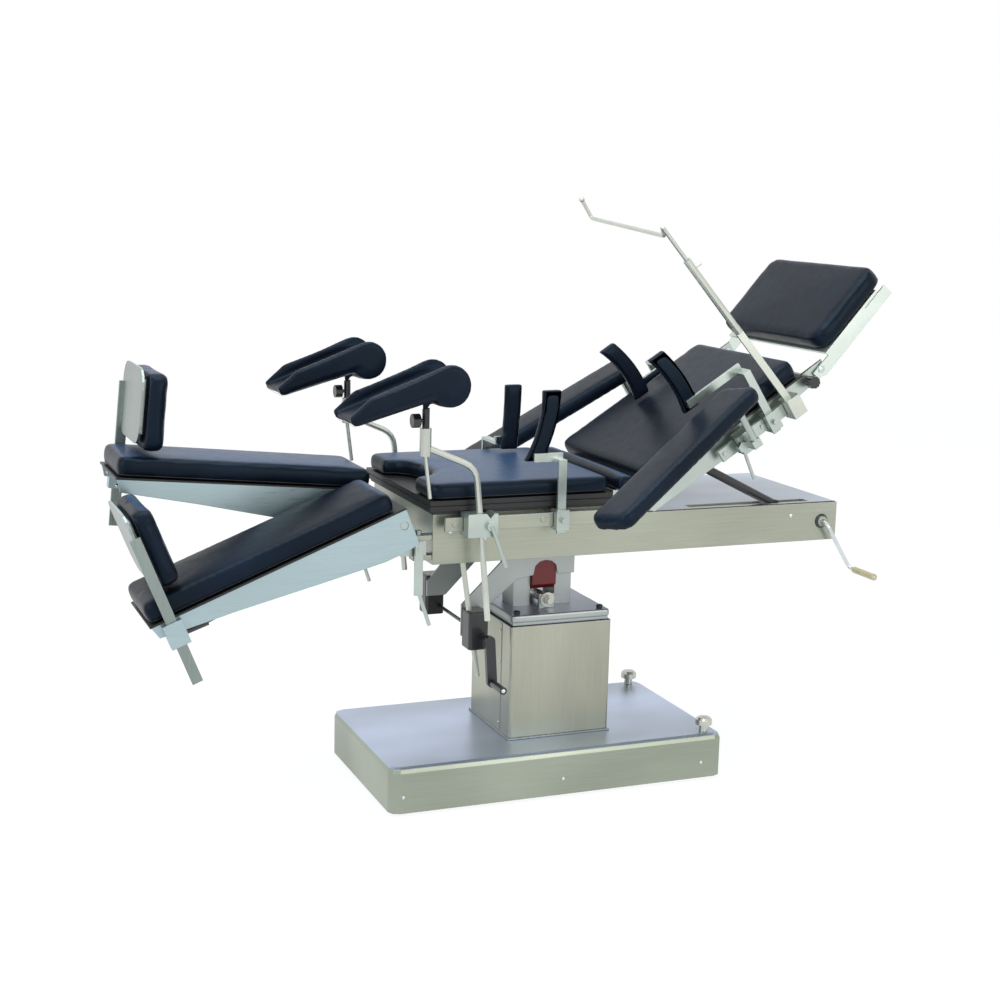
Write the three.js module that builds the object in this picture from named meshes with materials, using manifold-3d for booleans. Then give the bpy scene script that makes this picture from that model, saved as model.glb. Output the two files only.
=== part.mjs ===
// Side controlled electric operating table, in millimetres with +Z up.
// X runs along the table with the head end at +X, Y runs across it, the near side is at -Y,
// and the floor is at zero. Pieces on the far side are mirror copies of the near ones.
import * as THREE from 'three';
import { mergeVertices } from 'three/addons/utils/BufferGeometryUtils.js';
import loadManifold from 'manifold-3d';

const kernel = await loadManifold();
kernel.setup();

// Fits that every piece shares
const fit = { gap: 0.5, overrun: 2, pin: 0.5 };

// Floor stand
const base = { length: 940, width: 520, height: 118, floorGap: 10, offsetX: -37, edge: 14, wall: 3 };
const chassis = {
  inset: 12, plateHeight: 44, plateBottom: 30, coreX: 250, coreY: 250, footRadius: 26, footInset: 50,
};
const knob = {
  insetX: 45, insetY: 32, stemRadius: 7, collarRadius: 12, collarHeight: 20, capRadius: 22.5, capHeight: 13,
  domeRadius: 16, domeRise: 6.5, domeHeight: 9, tipHeight: 6,
};

// Lifting column
const sleeve = { coverGap: 25, wall: 12, headroom: 30, flangeOver: 3, flangeHeight: 5 };
const cover = { sizeX: 288, sizeY: 280, wall: 2.5, corner: 8, height: 300 };
const lid = {
  neckHeight: 9, neckInset: 8, thickness: 19, inset: 3, edge: 5, boltRadius: 8, boltHeight: 6,
  boltInset: 22, ramGap: 0.5, ramWall: 10, ramClearance: 17,
};
const yoke = {
  centreX: -15, window: 70, legWidth: 48, depth: 76, pinRise: 112, headRise: 22, pinRadius: 11,
};
const worm = {
  rise: 22, radius: 14, shaftRadius: 9, threadHalf: 44, bearingStart: 62, bearingThickness: 10,
  bearingHalf: 22, bearingRise: 16, washerRadius: 20, washerThickness: 4, nutRadius: 13,
  nutThickness: 12, studLength: 8,
};

// Rolling cradle with its gearboxes
const cradle = {
  plateStart: 52, plate: 6, footDrop: 25, shoulderRise: 65, crownRise: 138, crownHalf: 35,
  halfWidth: 83, archRise: 14, armReach: 127, armRise: 17, armHeel: 34, armThroat: 151,
  armThroatDrop: 90, tipReach: 237, tipWidth: 54, tipTop: 91, tipBottom: 175, tubeRadius: 22,
};
const pitch = { rise: 115 };
const sector = { radius: 74, blockRise: 62, sideGap: 0.5, endGap: 2 };
const farPlate = {
  thickness: 6, bearing: 12, bearingRadius: 32, bodyHalf: 30, waistReach: 120, waistDrop: 70,
  bottomDrop: 132,
};
const gearbox = { height: 101, depth: 60, edge: 4, bottomDrop: 200, farHeight: 112, farDepth: 60 };
const crank = {
  reach: 198, drop: 163, shaftRadius: 5, collarRadius: 9, collarLength: 6, armStart: 38, armThickness: 14,
  armWidth: 26, armLength: 112, armLean: 8, gripLength: 74, gripRadius: 10, pinRadius: 4, farEnd: 8,
};
const screw = { radius: 7, reach: 218, leanAngle: 8.7, tail: 79.5, rise: 30, offsetY: 88, eye: 22 };

// Main beam and seat
const beam = {
  left: -399, length: 1161, width: 470, axisRise: 51.5, seatDepth: 128, backDepth: 103, stepReach: 32,
  wall: 6, slotStart: 178, slotInset: 72, slotWidth: 34, lugHeight: 12, lugGap: 38, lugRise: 12,
};
const boards = {
  overhang: 16, length: 490, halfWidth: 258, thickness: 12, seam: 2, seamInset: 5, footHeight: 9,
  footInset: 10,
};
const seat = { overhang: 14, length: 487, thickness: 40, corner: 28, cutDepth: 74, cutHalf: 122 };
const table = { halfWidth: 260, cushion: 50, edge: 10, crown: 4 };
const rail = {
  height: 34, thickness: 10, standOff: 27, inset: 19, length: 498, deckDrop: 22, postRadius: 8,
  boltRadius: 7, boltHeight: 3,
};
const rightCrank = {
  inset: 46, deckDrop: 51, bossRadius: 14, bossLength: 8, rodRadius: 5.5, neck: 16, dropX: 83, dropZ: 130,
  gripLength: 96, gripRadius: 9, pinRadius: 4, bend: 22,
};

// Lumbar bridge
const kidney = {
  gap: 17, width: 47, corner: 12, plateHeight: 23, postRadius: 10, postSpread: 150, postLength: 140,
  plateInset: 33,
};

// Back section
const back = {
  pivotGap: 11, pivotRise: 24, angle: 33, start: 33, length: 520, corner: 30, plateY: 241, plate: 5,
  plateTail: 20, plateDrop: 68, plateEndDrop: 42, plateReach: 75, taper: 233, boardHeight: 5.5,
  pinRadius: 8, crossRadius: 9, crossStart: 100, crossReach: 7, lugHalf: 20, lugRise: 11, railLength: 270,
  railEndInset: 43, railDrop: 43, railY: 266,
};
const strut = {
  mountX: 191, mountDrop: 35, y: 190, radius: 12, eyeRadius: 15, pinRadius: 7, length: 291, angle: 26.4,
  footRadius: 13,
};
const head = {
  mountReach: 58, mountDrop: 22, angle: 49, start: 40, length: 263, lift: 20, corner: 45, armY: 250, arm: 6,
  armLength: 285, armDrop: 23, armRise: 9, boardHeight: 7, pinRadius: 8, crossX: 60,
};
const headKnob = {
  reach: 12, drop: 30, stemRadius: 6, stemLength: 14, radius: 17, ribDepth: 2, length: 22,
};

// Leg sections
const leg = {
  nearAngle: 22, farAngle: -5.2, pivotReach: 81, pivotDrop: 21, inner: 12, length: 650, corner: 22, plate: 4,
  boardTop: 41, boardHeight: 5, heelTail: 19, heelDrop: 58, deepX: 76, deepDrop: 63, midX: 220, midDrop: 45,
  farInset: 201, farDrop: 15, toeInset: 12, toeRise: 5, pinRadius: 10, pinInset: 4,
};
const swing = {
  reach: 31, y: 215, halfWidth: 16, pinRadius: 8, pinTail: 22, headRadius: 22, armHalf: 16, clearance: 26,
  barWidth: 20, barThickness: 10, barY: 244, barDrop: 179, bladeRadius: 5, bladeDrop: 78, bladeOut: 30,
};
const footboard = {
  inset: 110, thickness: 50, bottom: 104, height: 196, corner: 26, plate: 6, plateGap: 8, postWidth: 26,
  postThickness: 8, postY: 274, postBottom: 126, postTop: 250, plateBottom: 120, plateTop: 306,
  plateCorner: 50, clampHalf: 24, clampTop: 34, clampBottom: 26, clampProud: 6.5,
};
const lever = {
  inset: 225, drop: 20, y: 205, rodRadius: 4, rodLength: 92, gripLength: 54, gripRadius: 9, pinRadius: 3,
  lug: 7, lugHalf: 10, hubRadius: 8,
};
const spring = {
  x: 335, rise: 18, y: 137, radius: 11, wall: 6, tube: 178, rodRadius: 4.5, rod: 200, reach: 40, angle: 100,
  ball: 8, lug: 6,
};

// Leg supports
const support = {
  clampLeft: 38, clampRight: 40, clampOut: 46, clampUp: 30, clampDown: 28, rodReach: 84, rodOut: 30,
  rodRadius: 8, leanAngle: 5.7, below: 242, above: 108, bendX: 132, bendRise: 90, bend: 34, jointRadius: 14,
  jointBelow: 22, jointAbove: 46, handleRadius: 5, handleDrop: 104, notch: 12,
};
const crutch = {
  length: 258, lobeRadius: 52, halfWidth: 78, wall: 21, floor: 17, wallTop: 50, toeTop: 26, taper: 66,
  angle: 21, lobeForward: 38, lobeRise: 107, edge: 7, rollStartAngle: 20, rollEndAngle: -50, stemRadius: 9,
  neckRadius: 4.5, knobRadius: 17, knobNeck: 18, knobLength: 17,
};
const farSupportShift = 18;

// Armboards
const armboard = {
  length: 565, width: 140, thickness: 40, corner: 34, mountInset: 78, mountOut: 69, inset: 45, lift: 68,
  nearSwingAngle: 17, farSwingAngle: 14, clampHalf: 25, clampOut: 24, postRadius: 9, armHeight: 22,
  boardHeight: 6,
  bossRadius: 15, bossLength: 12, handleRadius: 4.5, handleDrop: 92, handleLean: 14, pinLength: 16,
};

// Side supports
const side = {
  padWidth: 50, padDepth: 24, padLength: 180, edge: 5, bar: 22, barThickness: 8, clampHalf: 17,
  clampOut: 20,
  screwRadius: 7.5, shoeProud: 10,
};
const nearSeatHorn = {
  clampReach: 304, padReach: 288, lift: 44, padOut: 238, armRise: 12, toe: 46, tip: 0,
};
const farSeatHorn = { clampReach: 320, padReach: 354, lift: 8, padOut: 172, armRise: 24, toe: 10, tip: 0 };
const nearBackHorn = {
  clampReach: 167, padReach: 24, lift: 42, padOut: 222, armRise: 22, toe: 14, tip: 30,
};
const farBackHorn = { clampReach: 160, padReach: 52, lift: 10, padOut: 140, armRise: 26, toe: 14, tip: 36 };

// Anaesthesia screen
const screen = {
  mountInset: 32, clampHalf: 20, clampOut: 22, barWidth: 20, barThickness: 6, barLength: 230, barY: 284,
  leanAngle: 8.5, sleeveRadius: 10, sleeveStart: 330, sleeveLength: 120, knobRadius: 11, knobLength: 26,
  rodRadius: 5.5, rodTop: 560, hookDrop: 29, hookOut: 14, span: 476, spanReach: 36, spanRise: 13.5, tip: 59,
  ball: 8, bend: 9,
};

// Derived heights and places
const baseTop = base.floorGap + base.height;
const coverBottom = baseTop + fit.gap + sleeve.flangeHeight + fit.gap;
const coverTop = coverBottom + cover.height;
const lidTop = coverTop + fit.gap + lid.neckHeight + lid.thickness;
const sleeveTop = coverTop + fit.gap - sleeve.headroom;
const rollZ = lidTop + yoke.pinRise;
const pitchZ = rollZ + pitch.rise;
const wormZ = lidTop + worm.rise;
const beamHalf = beam.width / 2;
const beamRight = beam.left + beam.length;
const beamBottom = pitchZ - beam.axisRise;
const seatDeck = beamBottom + beam.seatDepth;
const backDeck = beamBottom + beam.backDepth;
const lugBottom = beamBottom + beam.lugRise;
const railFace = beamHalf + rail.standOff;
const railDepth = rail.thickness + rail.boltHeight;
const railLeft = beam.left + rail.inset;
const railRight = railLeft + rail.length;
const seatRailZ = seatDeck - rail.deckDrop;
const boardsLeft = beam.left - boards.overhang;
const boardsRight = boardsLeft + boards.length;
const seatLeft = beam.left - seat.overhang;
const seatRight = seatLeft + seat.length;
const kidneyLeft = boardsRight + kidney.gap;
const kidneyRight = kidneyLeft + kidney.width;
const backPivotX = kidneyRight + back.pivotGap;
const backPivotZ = seatDeck + back.pivotRise;
const backEnd = back.start + back.length;
const backRailEnd = backEnd - back.railEndInset;
const backRailStart = backRailEnd - back.railLength;
const headX = backEnd + head.mountReach;
const headKnobX = backEnd + headKnob.reach;
const armboardX = backRailStart + armboard.mountInset;
const screenX = backRailEnd - screen.mountInset;
const legPivotX = beam.left - leg.pivotReach;
const legPivotZ = seatDeck - leg.pivotDrop;
const legFarX = leg.length - leg.farInset;
const legToeX = leg.length - leg.toeInset;
const footboardX = leg.length - footboard.inset;
const leverX = leg.length - lever.inset;
const swingX = beam.left - swing.reach;
const rodX = railLeft + support.rodReach;
const rightCrankX = beamRight - rightCrank.inset;
const rightCrankZ = backDeck - rightCrank.deckDrop;
const boardBottom = seatDeck + fit.gap;
const boardTop = boardBottom + boards.footHeight + boards.thickness + boards.seam + boards.thickness;
const seatBottom = boardTop + fit.gap;
const seatTop = seatBottom + seat.thickness;
const crankX = yoke.centreX - crank.reach;
const crankZ = rollZ - crank.drop;

// Materials, coloured from the photograph
const steel = { color: 0xa9b8ac, roughness: 0.32, metalness: 0.85 };
const paleSteel = { color: 0xb4c6c4, roughness: 0.3, metalness: 0.8 };
const chrome = { color: 0xd4dadb, roughness: 0.12, metalness: 1 };
const leather = { color: 0x1e2a3c, roughness: 0.42, metalness: 0 };
const black = { color: 0x16181b, roughness: 0.5, metalness: 0.05 };
const ivory = { color: 0xd8d6b4, roughness: 0.45, metalness: 0.1 };
const red = { color: 0x7d1f22, roughness: 0.4, metalness: 0.3 };

const table3d = new THREE.Group();
table3d.name = 'electric_operating_table';

// Adds one named piece; the frame places a piece that was built in its own section's frame.
function add(name, geometry, look, frame) {
  const mesh = new THREE.Mesh(geometry, new THREE.MeshStandardMaterial(look));
  mesh.name = name;
  if (frame) {
    mesh.applyMatrix4(frame);
  }
  table3d.add(mesh);
}

function radians(degrees) {
  return THREE.MathUtils.degToRad(degrees);
}

// Frame of a section that turns about a cross pin; a positive tilt raises its +X end.
function sectionFrame(x, z, tilt) {
  const turn = new THREE.Matrix4().makeRotationY(-radians(tilt));
  return new THREE.Matrix4().makeTranslation(x, 0, z).multiply(turn);
}

function toManifold(geometry) {
  const bare = geometry.clone();
  bare.deleteAttribute('normal');
  bare.deleteAttribute('uv');
  const welded = mergeVertices(bare);
  const mesh = new kernel.Mesh({
    numProp: 3,
    vertProperties: new Float32Array(welded.attributes.position.array),
    triVerts: new Uint32Array(welded.index.array),
  });
  return new kernel.Manifold(mesh);
}

function fromManifold(solid) {
  const mesh = solid.getMesh();
  const geometry = new THREE.BufferGeometry();
  geometry.setAttribute('position', new THREE.BufferAttribute(new Float32Array(mesh.vertProperties), 3));
  geometry.setIndex(new THREE.BufferAttribute(new Uint32Array(mesh.triVerts), 1));
  geometry.computeVertexNormals();
  return geometry;
}

function join(...parts) {
  return fromManifold(kernel.Manifold.union(parts.map(toManifold)));
}

function cut(body, ...tools) {
  return fromManifold(toManifold(body).subtract(kernel.Manifold.union(tools.map(toManifold))));
}

function mirror(geometry) {
  return fromManifold(toManifold(geometry).mirror([0, 1, 0]));
}

// Box between two corners
function block(low, high) {
  const size = high.map((value, axis) => value - low[axis]);
  const geometry = new THREE.BoxGeometry(...size);
  return geometry.translate(...low.map((value, axis) => value + size[axis] / 2));
}

// Round bar between two points
function bar(from, to, radius, sides = 10) {
  const start = new THREE.Vector3(...from);
  const along = new THREE.Vector3(...to).sub(start);
  const geometry = new THREE.CylinderGeometry(radius, radius, along.length(), sides);
  const turn = new THREE.Quaternion().setFromUnitVectors(
    new THREE.Vector3(0, 1, 0), along.clone().normalize(),
  );
  geometry.applyQuaternion(turn);
  return geometry.translate(...start.addScaledVector(along, 1 / 2).toArray());
}

function outlineShape(points) {
  return new THREE.Shape(points.map(([first, second]) => new THREE.Vector2(first, second)));
}

// Plate with an outline in X and Z, standing between two places along Y
function plate(points, low, high) {
  const geometry = new THREE.ExtrudeGeometry(
    outlineShape(points), { depth: high - low, bevelEnabled: false },
  );
  return geometry.rotateX(Math.PI / 2).translate(0, high, 0);
}

// Plate with an outline in X and Y, lying between two heights
function slab(points, low, high) {
  const geometry = new THREE.ExtrudeGeometry(
    outlineShape(points), { depth: high - low, bevelEnabled: false },
  );
  return geometry.translate(0, 0, low);
}

// Corner points of a rectangle with rounded corners, counterclockwise
function roundedOutline(left, right, front, rear, radius, steps = 4) {
  const centres = [
    [right - radius, rear - radius], [left + radius, rear - radius],
    [left + radius, front + radius], [right - radius, front + radius],
  ];
  return centres.flatMap(([x, y], corner) => Array.from({ length: steps + 1 }, (_, step) => {
    const angle = (corner + step / steps) * Math.PI / 2;
    return [x + radius * Math.cos(angle), y + radius * Math.sin(angle)];
  }));
}

// Box with rounded edges all round
function softBlock(low, high, radius, steps = 2) {
  const outline = roundedOutline(
    low[0] + radius, high[0] - radius, low[1] + radius, high[1] - radius, radius, steps,
  );
  const geometry = new THREE.ExtrudeGeometry(outlineShape(outline), {
    depth: high[2] - low[2] - 2 * radius, bevelSize: radius, bevelThickness: radius, bevelSegments: steps,
  });
  return geometry.translate(0, 0, low[2] + radius);
}

// Closed tube with a ring of points round each place of a route
const steepShare = 0.9;
function tube(route, radius, sides) {
  const positions = [];
  const faces = [];
  const normal = new THREE.Vector3(0, 1, 0);
  route.forEach((place, index) => {
    const before = route[Math.max(index - 1, 0)];
    const after = route[Math.min(index + 1, route.length - 1)];
    const along = after.clone().sub(before).normalize();
    if (Math.abs(normal.dot(along)) > steepShare) {
      normal.set(1, 0, 0);
    }
    normal.addScaledVector(along, -normal.dot(along)).normalize();
    const across = along.clone().cross(normal);
    for (let side = 0; side < sides; side += 1) {
      const angle = side / sides * Math.PI * 2;
      const point = place.clone()
        .addScaledVector(normal, radius * Math.cos(angle))
        .addScaledVector(across, radius * Math.sin(angle));
      positions.push(...point.toArray());
    }
  });
  const last = (route.length - 1) * sides;
  const startCentre = positions.length / 3;
  positions.push(...route[0].toArray(), ...route[route.length - 1].toArray());
  for (let side = 0; side < sides; side += 1) {
    const next = (side + 1) % sides;
    for (let ring = 0; ring < last; ring += sides) {
      faces.push(
        ring + side, ring + next, ring + sides + next, ring + side, ring + sides + next,
        ring + sides + side,
      );
    }
    faces.push(startCentre, next, side, startCentre + 1, last + side, last + next);
  }
  const geometry = new THREE.BufferGeometry();
  geometry.setAttribute('position', new THREE.Float32BufferAttribute(positions, 3));
  geometry.setIndex(faces);
  return geometry;
}

// Round bar that runs through the points and is bent at the inner ones
const bendSteps = 4;
function bentBar(points, radius, bend, sides = 8) {
  const places = points.map((point) => new THREE.Vector3(...point));
  const route = [places[0]];
  for (let corner = 1; corner < places.length - 1; corner += 1) {
    const before = places[corner - 1].clone().sub(places[corner]).setLength(bend).add(places[corner]);
    const after = places[corner + 1].clone().sub(places[corner]).setLength(bend).add(places[corner]);
    route.push(...new THREE.QuadraticBezierCurve3(before, places[corner], after).getPoints(bendSteps));
  }
  route.push(places[places.length - 1]);
  return tube(route, radius, sides);
}

// Padded piece with its outline in X and Z and rounded edges, standing between two places along Y
function softPlate(points, low, high, edge) {
  const geometry = new THREE.ExtrudeGeometry(outlineShape(points), {
    depth: high - low - 2 * edge,
    bevelSize: edge, bevelThickness: edge, bevelOffset: -edge, bevelSegments: 2,
  });
  return geometry.rotateX(Math.PI / 2).translate(0, high - edge, 0);
}

// Padded cushion over an outline in X and Y: the sides are drawn in at the seams and the top is crowned.
const sideInsetShares = [0.5, 0.1, 0, 0.1, 0.42, 1];
const sideHeightShares = [0, 0.12, 0.45, 0.78, 0.93, 1];
const crownShares = [0.86, 0.55, 0.22];
function cushion(outline, centre, thickness, edge = table.edge, crown = table.crown) {
  const count = outline.length;
  const positions = [];
  const inset = (index, amount) => {
    const before = outline[(index + count - 1) % count];
    const after = outline[(index + 1) % count];
    const run = new THREE.Vector2(after[0] - before[0], after[1] - before[1]).normalize();
    return [outline[index][0] - run.y * amount, outline[index][1] + run.x * amount];
  };
  sideInsetShares.forEach((share, level) => {
    for (let index = 0; index < count; index += 1) {
      positions.push(...inset(index, share * edge), sideHeightShares[level] * thickness);
    }
  });
  crownShares.forEach((share) => {
    for (let index = 0; index < count; index += 1) {
      const [x, y] = inset(index, edge);
      positions.push(
        centre[0] + (x - centre[0]) * share,
        centre[1] + (y - centre[1]) * share,
        thickness + crown * (1 - share * share),
      );
    }
  });
  const rings = sideInsetShares.length + crownShares.length;
  const bottom = rings * count;
  positions.push(...centre, 0, ...centre, thickness + crown);
  const faces = [];
  for (let index = 0; index < count; index += 1) {
    const next = (index + 1) % count;
    faces.push(bottom, next, index);
    for (let ring = 0; ring < rings - 1; ring += 1) {
      const here = ring * count;
      const above = here + count;
      faces.push(here + index, here + next, above + next, here + index, above + next, above + index);
    }
    const last = (rings - 1) * count;
    faces.push(last + index, last + next, bottom + 1);
  }
  const geometry = new THREE.BufferGeometry();
  geometry.setAttribute('position', new THREE.Float32BufferAttribute(positions, 3));
  geometry.setIndex(faces);
  geometry.computeVertexNormals();
  return geometry;
}

// Floor stand: folded stainless cover over a heavy cast plate on four pads
const baseLeft = base.offsetX - base.length / 2;
const baseRight = base.offsetX + base.length / 2;
const baseHalf = base.width / 2;
const knobX = baseRight - knob.insetX;
const knobY = baseHalf - knob.insetY;
const knobPlaces = [-knobY, knobY];
const coreHalfX = chassis.coreX / 2;
const coreHalfY = chassis.coreY / 2;
const shellHole = block(
  [-coreHalfX - fit.gap, -coreHalfY - fit.gap, base.floorGap],
  [coreHalfX + fit.gap, coreHalfY + fit.gap, baseTop + fit.overrun],
);
const shell = cut(
  softBlock([baseLeft, -baseHalf, -base.edge], [baseRight, baseHalf, baseTop], base.edge),
  softBlock(
    [baseLeft + base.wall, -baseHalf + base.wall, -base.edge],
    [baseRight - base.wall, baseHalf - base.wall, baseTop - base.wall],
    base.edge - base.wall,
  ),
  block([baseLeft, -baseHalf, -base.edge - fit.overrun], [baseRight, baseHalf, base.floorGap]),
  shellHole,
  ...knobPlaces.map(
    (y) => bar([knobX, y, base.floorGap], [knobX, y, baseTop + fit.overrun], knob.stemRadius + fit.gap),
  ),
);
add('base_cover', shell, steel);

const plateX = base.length / 2 - base.wall - chassis.inset;
const plateY = baseHalf - base.wall - chassis.inset;
const plateTop = chassis.plateBottom + chassis.plateHeight;
const ballast = block(
  [base.offsetX - plateX, -plateY, chassis.plateBottom], [base.offsetX + plateX, plateY, plateTop],
);
const feet = [-1, 1].flatMap((end) => [-1, 1].map((turn) => {
  const x = base.offsetX + end * (plateX - chassis.footInset);
  const y = turn * (plateY - chassis.footInset);
  return bar([x, y, 0], [x, y, plateTop - chassis.plateHeight / 2], chassis.footRadius, 16);
}));
const pedestal = block([-coreHalfX, -coreHalfY, plateTop - fit.overrun], [coreHalfX, coreHalfY, baseTop]);
const frameHoles = knobPlaces.map((y) => bar(
  [knobX, y, 0], [knobX, y, plateTop + fit.overrun], knob.stemRadius + fit.gap,
));
add('base_chassis', cut(join(ballast, pedestal, ...feet), ...frameHoles), black);

// Levelling knobs at the head end: mushroom caps on long screws
const capBottom = baseTop + fit.gap + knob.collarHeight;
const capTop = capBottom + knob.capHeight;
const knobProfile = [
  [0, knob.tipHeight], [knob.stemRadius, knob.tipHeight], [knob.stemRadius, baseTop + fit.gap],
  [knob.collarRadius, baseTop + fit.gap], [knob.collarRadius, capBottom], [knob.capRadius, capBottom],
  [knob.capRadius, capTop], [knob.domeRadius, capTop + knob.domeRise], [0, capTop + knob.domeHeight],
].map(([radius, height]) => new THREE.Vector2(radius, height));
const knobSolid = new THREE.LatheGeometry(knobProfile, 18).rotateX(Math.PI / 2);
add('levelling_knob_near', knobSolid.clone().translate(knobX, -knobY, 0), chrome);
add('levelling_knob_far', knobSolid.clone().translate(knobX, knobY, 0), chrome);

// Lifting column: fixed square sleeve inside, stainless cover outside
const sleeveHalf = cover.sizeY / 2 - sleeve.coverGap;
const sleeveBore = sleeveHalf - sleeve.wall;
const flangeBottom = baseTop + fit.gap;
const flangeX = cover.sizeX / 2 + sleeve.flangeOver;
const flangeY = cover.sizeY / 2 + sleeve.flangeOver;
const flange = block(
  [-flangeX, -flangeY, flangeBottom], [flangeX, flangeY, flangeBottom + sleeve.flangeHeight],
);
const sleeveTube = cut(
  join(flange, block([-sleeveHalf, -sleeveHalf, flangeBottom], [sleeveHalf, sleeveHalf, sleeveTop])),
  block(
    [-sleeveBore, -sleeveBore, flangeBottom + sleeve.flangeHeight],
    [sleeveBore, sleeveBore, sleeveTop + fit.overrun],
  ),
);
add('column_sleeve', sleeveTube, paleSteel);

const coverX = cover.sizeX / 2;
const coverY = cover.sizeY / 2;
const coverWalls = cut(
  slab(roundedOutline(-coverX, coverX, -coverY, coverY, cover.corner), coverBottom, coverTop),
  block(
    [-coverX + cover.wall, -coverY + cover.wall, coverBottom - fit.overrun],
    [coverX - cover.wall, coverY - cover.wall, coverTop + fit.overrun],
  ),
);
add('column_cover', coverWalls, steel);

// Lid with the ram below it, the yoke that holds the roll pin, and the worm's bearings
const neckBottom = coverTop + fit.gap;
const slabBottom = neckBottom + lid.neckHeight;
const lidX = coverX - lid.inset;
const lidY = coverY - lid.inset;
const neck = block(
  [-coverX + lid.neckInset, -coverY + lid.neckInset, neckBottom],
  [coverX - lid.neckInset, coverY - lid.neckInset, slabBottom + lid.thickness / 2],
);
const lidSlab = softBlock([-lidX, -lidY, slabBottom], [lidX, lidY, lidTop], lid.edge);
const ramHalf = sleeveBore - lid.ramGap;
const ramBottom = flangeBottom + sleeve.flangeHeight + lid.ramClearance;
const ram = cut(
  block([-ramHalf, -ramHalf, ramBottom], [ramHalf, ramHalf, slabBottom]),
  block(
    [-ramHalf + lid.ramWall, -ramHalf + lid.ramWall, ramBottom - fit.overrun],
    [ramHalf - lid.ramWall, ramHalf - lid.ramWall, neckBottom],
  ),
);
const boltX = lidX - lid.boltInset;
const boltY = lidY - lid.boltInset;
const lidBolts = [-1, 1].flatMap((end) => [-1, 1].map((turn) => bar(
  [end * boltX, turn * boltY, lidTop - lid.thickness / 2],
  [end * boltX, turn * boltY, lidTop + lid.boltHeight],
  lid.boltRadius,
)));
const windowHalf = yoke.window / 2;
const yokeHalf = yoke.depth / 2;
const legs = [-1, 1].map((end) => {
  const inner = yoke.centreX + end * windowHalf;
  const outer = inner + end * yoke.legWidth;
  return block(
    [Math.min(inner, outer), -yokeHalf, lidTop - lid.thickness / 2],
    [Math.max(inner, outer), yokeHalf, rollZ + yoke.headRise],
  );
});
const bearings = [-1, 1].map((turn) => {
  const inner = turn * worm.bearingStart;
  const outer = inner + turn * worm.bearingThickness;
  return block(
    [yoke.centreX - worm.bearingHalf, Math.min(inner, outer), lidTop - lid.thickness / 2],
    [yoke.centreX + worm.bearingHalf, Math.max(inner, outer), wormZ + worm.bearingRise],
  );
});
const yokeOuter = windowHalf + yoke.legWidth;
const rollBore = bar(
  [yoke.centreX - yokeOuter - fit.overrun, 0, rollZ], [yoke.centreX + yokeOuter + fit.overrun, 0, rollZ],
  yoke.pinRadius + fit.pin, 16,
);
const wormEnd = worm.bearingStart + worm.bearingThickness;
const wormBore = bar(
  [yoke.centreX, -wormEnd - fit.overrun, wormZ], [yoke.centreX, wormEnd + fit.overrun, wormZ],
  worm.shaftRadius + fit.pin, 16,
);
add(
  'column_lid', cut(join(neck, lidSlab, ram, ...lidBolts, ...legs, ...bearings), rollBore, wormBore),
  paleSteel,
);

// Tilt worm across the yoke, with a washer and a hexagon nut at each end
const washerStart = wormEnd + fit.gap;
const nutStart = washerStart + worm.washerThickness;
const nutEnd = nutStart + worm.nutThickness;
const wormEnds = [-1, 1].flatMap((turn) => [
  bar(
    [yoke.centreX, turn * washerStart, wormZ], [yoke.centreX, turn * nutStart, wormZ], worm.washerRadius,
    20,
  ),
  bar(
    [yoke.centreX, turn * (nutStart - fit.gap), wormZ], [yoke.centreX, turn * nutEnd, wormZ],
    worm.nutRadius, 6,
  ),
]);
const wormSolid = join(
  bar(
    [yoke.centreX, -nutEnd - worm.studLength, wormZ], [yoke.centreX, nutEnd + worm.studLength, wormZ],
    worm.shaftRadius, 16,
  ),
  bar([yoke.centreX, -worm.threadHalf, wormZ], [yoke.centreX, worm.threadHalf, wormZ], worm.radius, 16),
  ...wormEnds,
);
add('tilt_worm', wormSolid, chrome);

// Cradle: two arched plates, the long cross tube, the near arm and the far plate
const plateEnd = cradle.plateStart + cradle.plate;
const archTop = rollZ + cradle.archRise;
const headPoints = [
  [yoke.centreX + windowHalf, rollZ - cradle.footDrop],
  [yoke.centreX + cradle.halfWidth, rollZ - cradle.footDrop],
  [yoke.centreX + cradle.halfWidth, rollZ + cradle.shoulderRise],
  [yoke.centreX + cradle.crownHalf, rollZ + cradle.crownRise],
  [yoke.centreX - cradle.crownHalf, rollZ + cradle.crownRise],
  [yoke.centreX - cradle.halfWidth, rollZ + cradle.shoulderRise],
];
const archSteps = 6;
const archBluntShare = 0.7;
const archPoints = Array.from({ length: archSteps + 1 }, (_, step) => {
  const angle = Math.PI - step / archSteps * Math.PI;
  return [
    yoke.centreX + windowHalf * Math.cos(angle),
    rollZ - cradle.footDrop + (archTop - rollZ + cradle.footDrop) * Math.sin(angle) ** archBluntShare,
  ];
});
const rearOutline = [
  ...headPoints,
  [yoke.centreX - cradle.halfWidth, rollZ - cradle.footDrop],
  ...archPoints.slice(0, archPoints.length - 1),
];
const armOutline = [
  ...headPoints,
  [yoke.centreX - cradle.armReach, rollZ + cradle.armRise],
  [yoke.centreX - cradle.tipReach, rollZ - cradle.tipTop],
  [yoke.centreX - cradle.tipReach, rollZ - cradle.tipBottom],
  [yoke.centreX - cradle.tipReach + cradle.tipWidth, rollZ - cradle.tipBottom],
  [yoke.centreX - cradle.tipReach + cradle.tipWidth, rollZ - cradle.tipTop - cradle.armHeel],
  [yoke.centreX - cradle.armThroat, rollZ - cradle.armThroatDrop],
  [yoke.centreX - cradle.halfWidth, rollZ - cradle.armHeel],
  ...archPoints.slice(0, archPoints.length - 1),
];
const farPlateEnd = beamHalf - beam.wall - farPlate.bearing - fit.gap;
const farPlateStart = farPlateEnd - farPlate.thickness;
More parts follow.
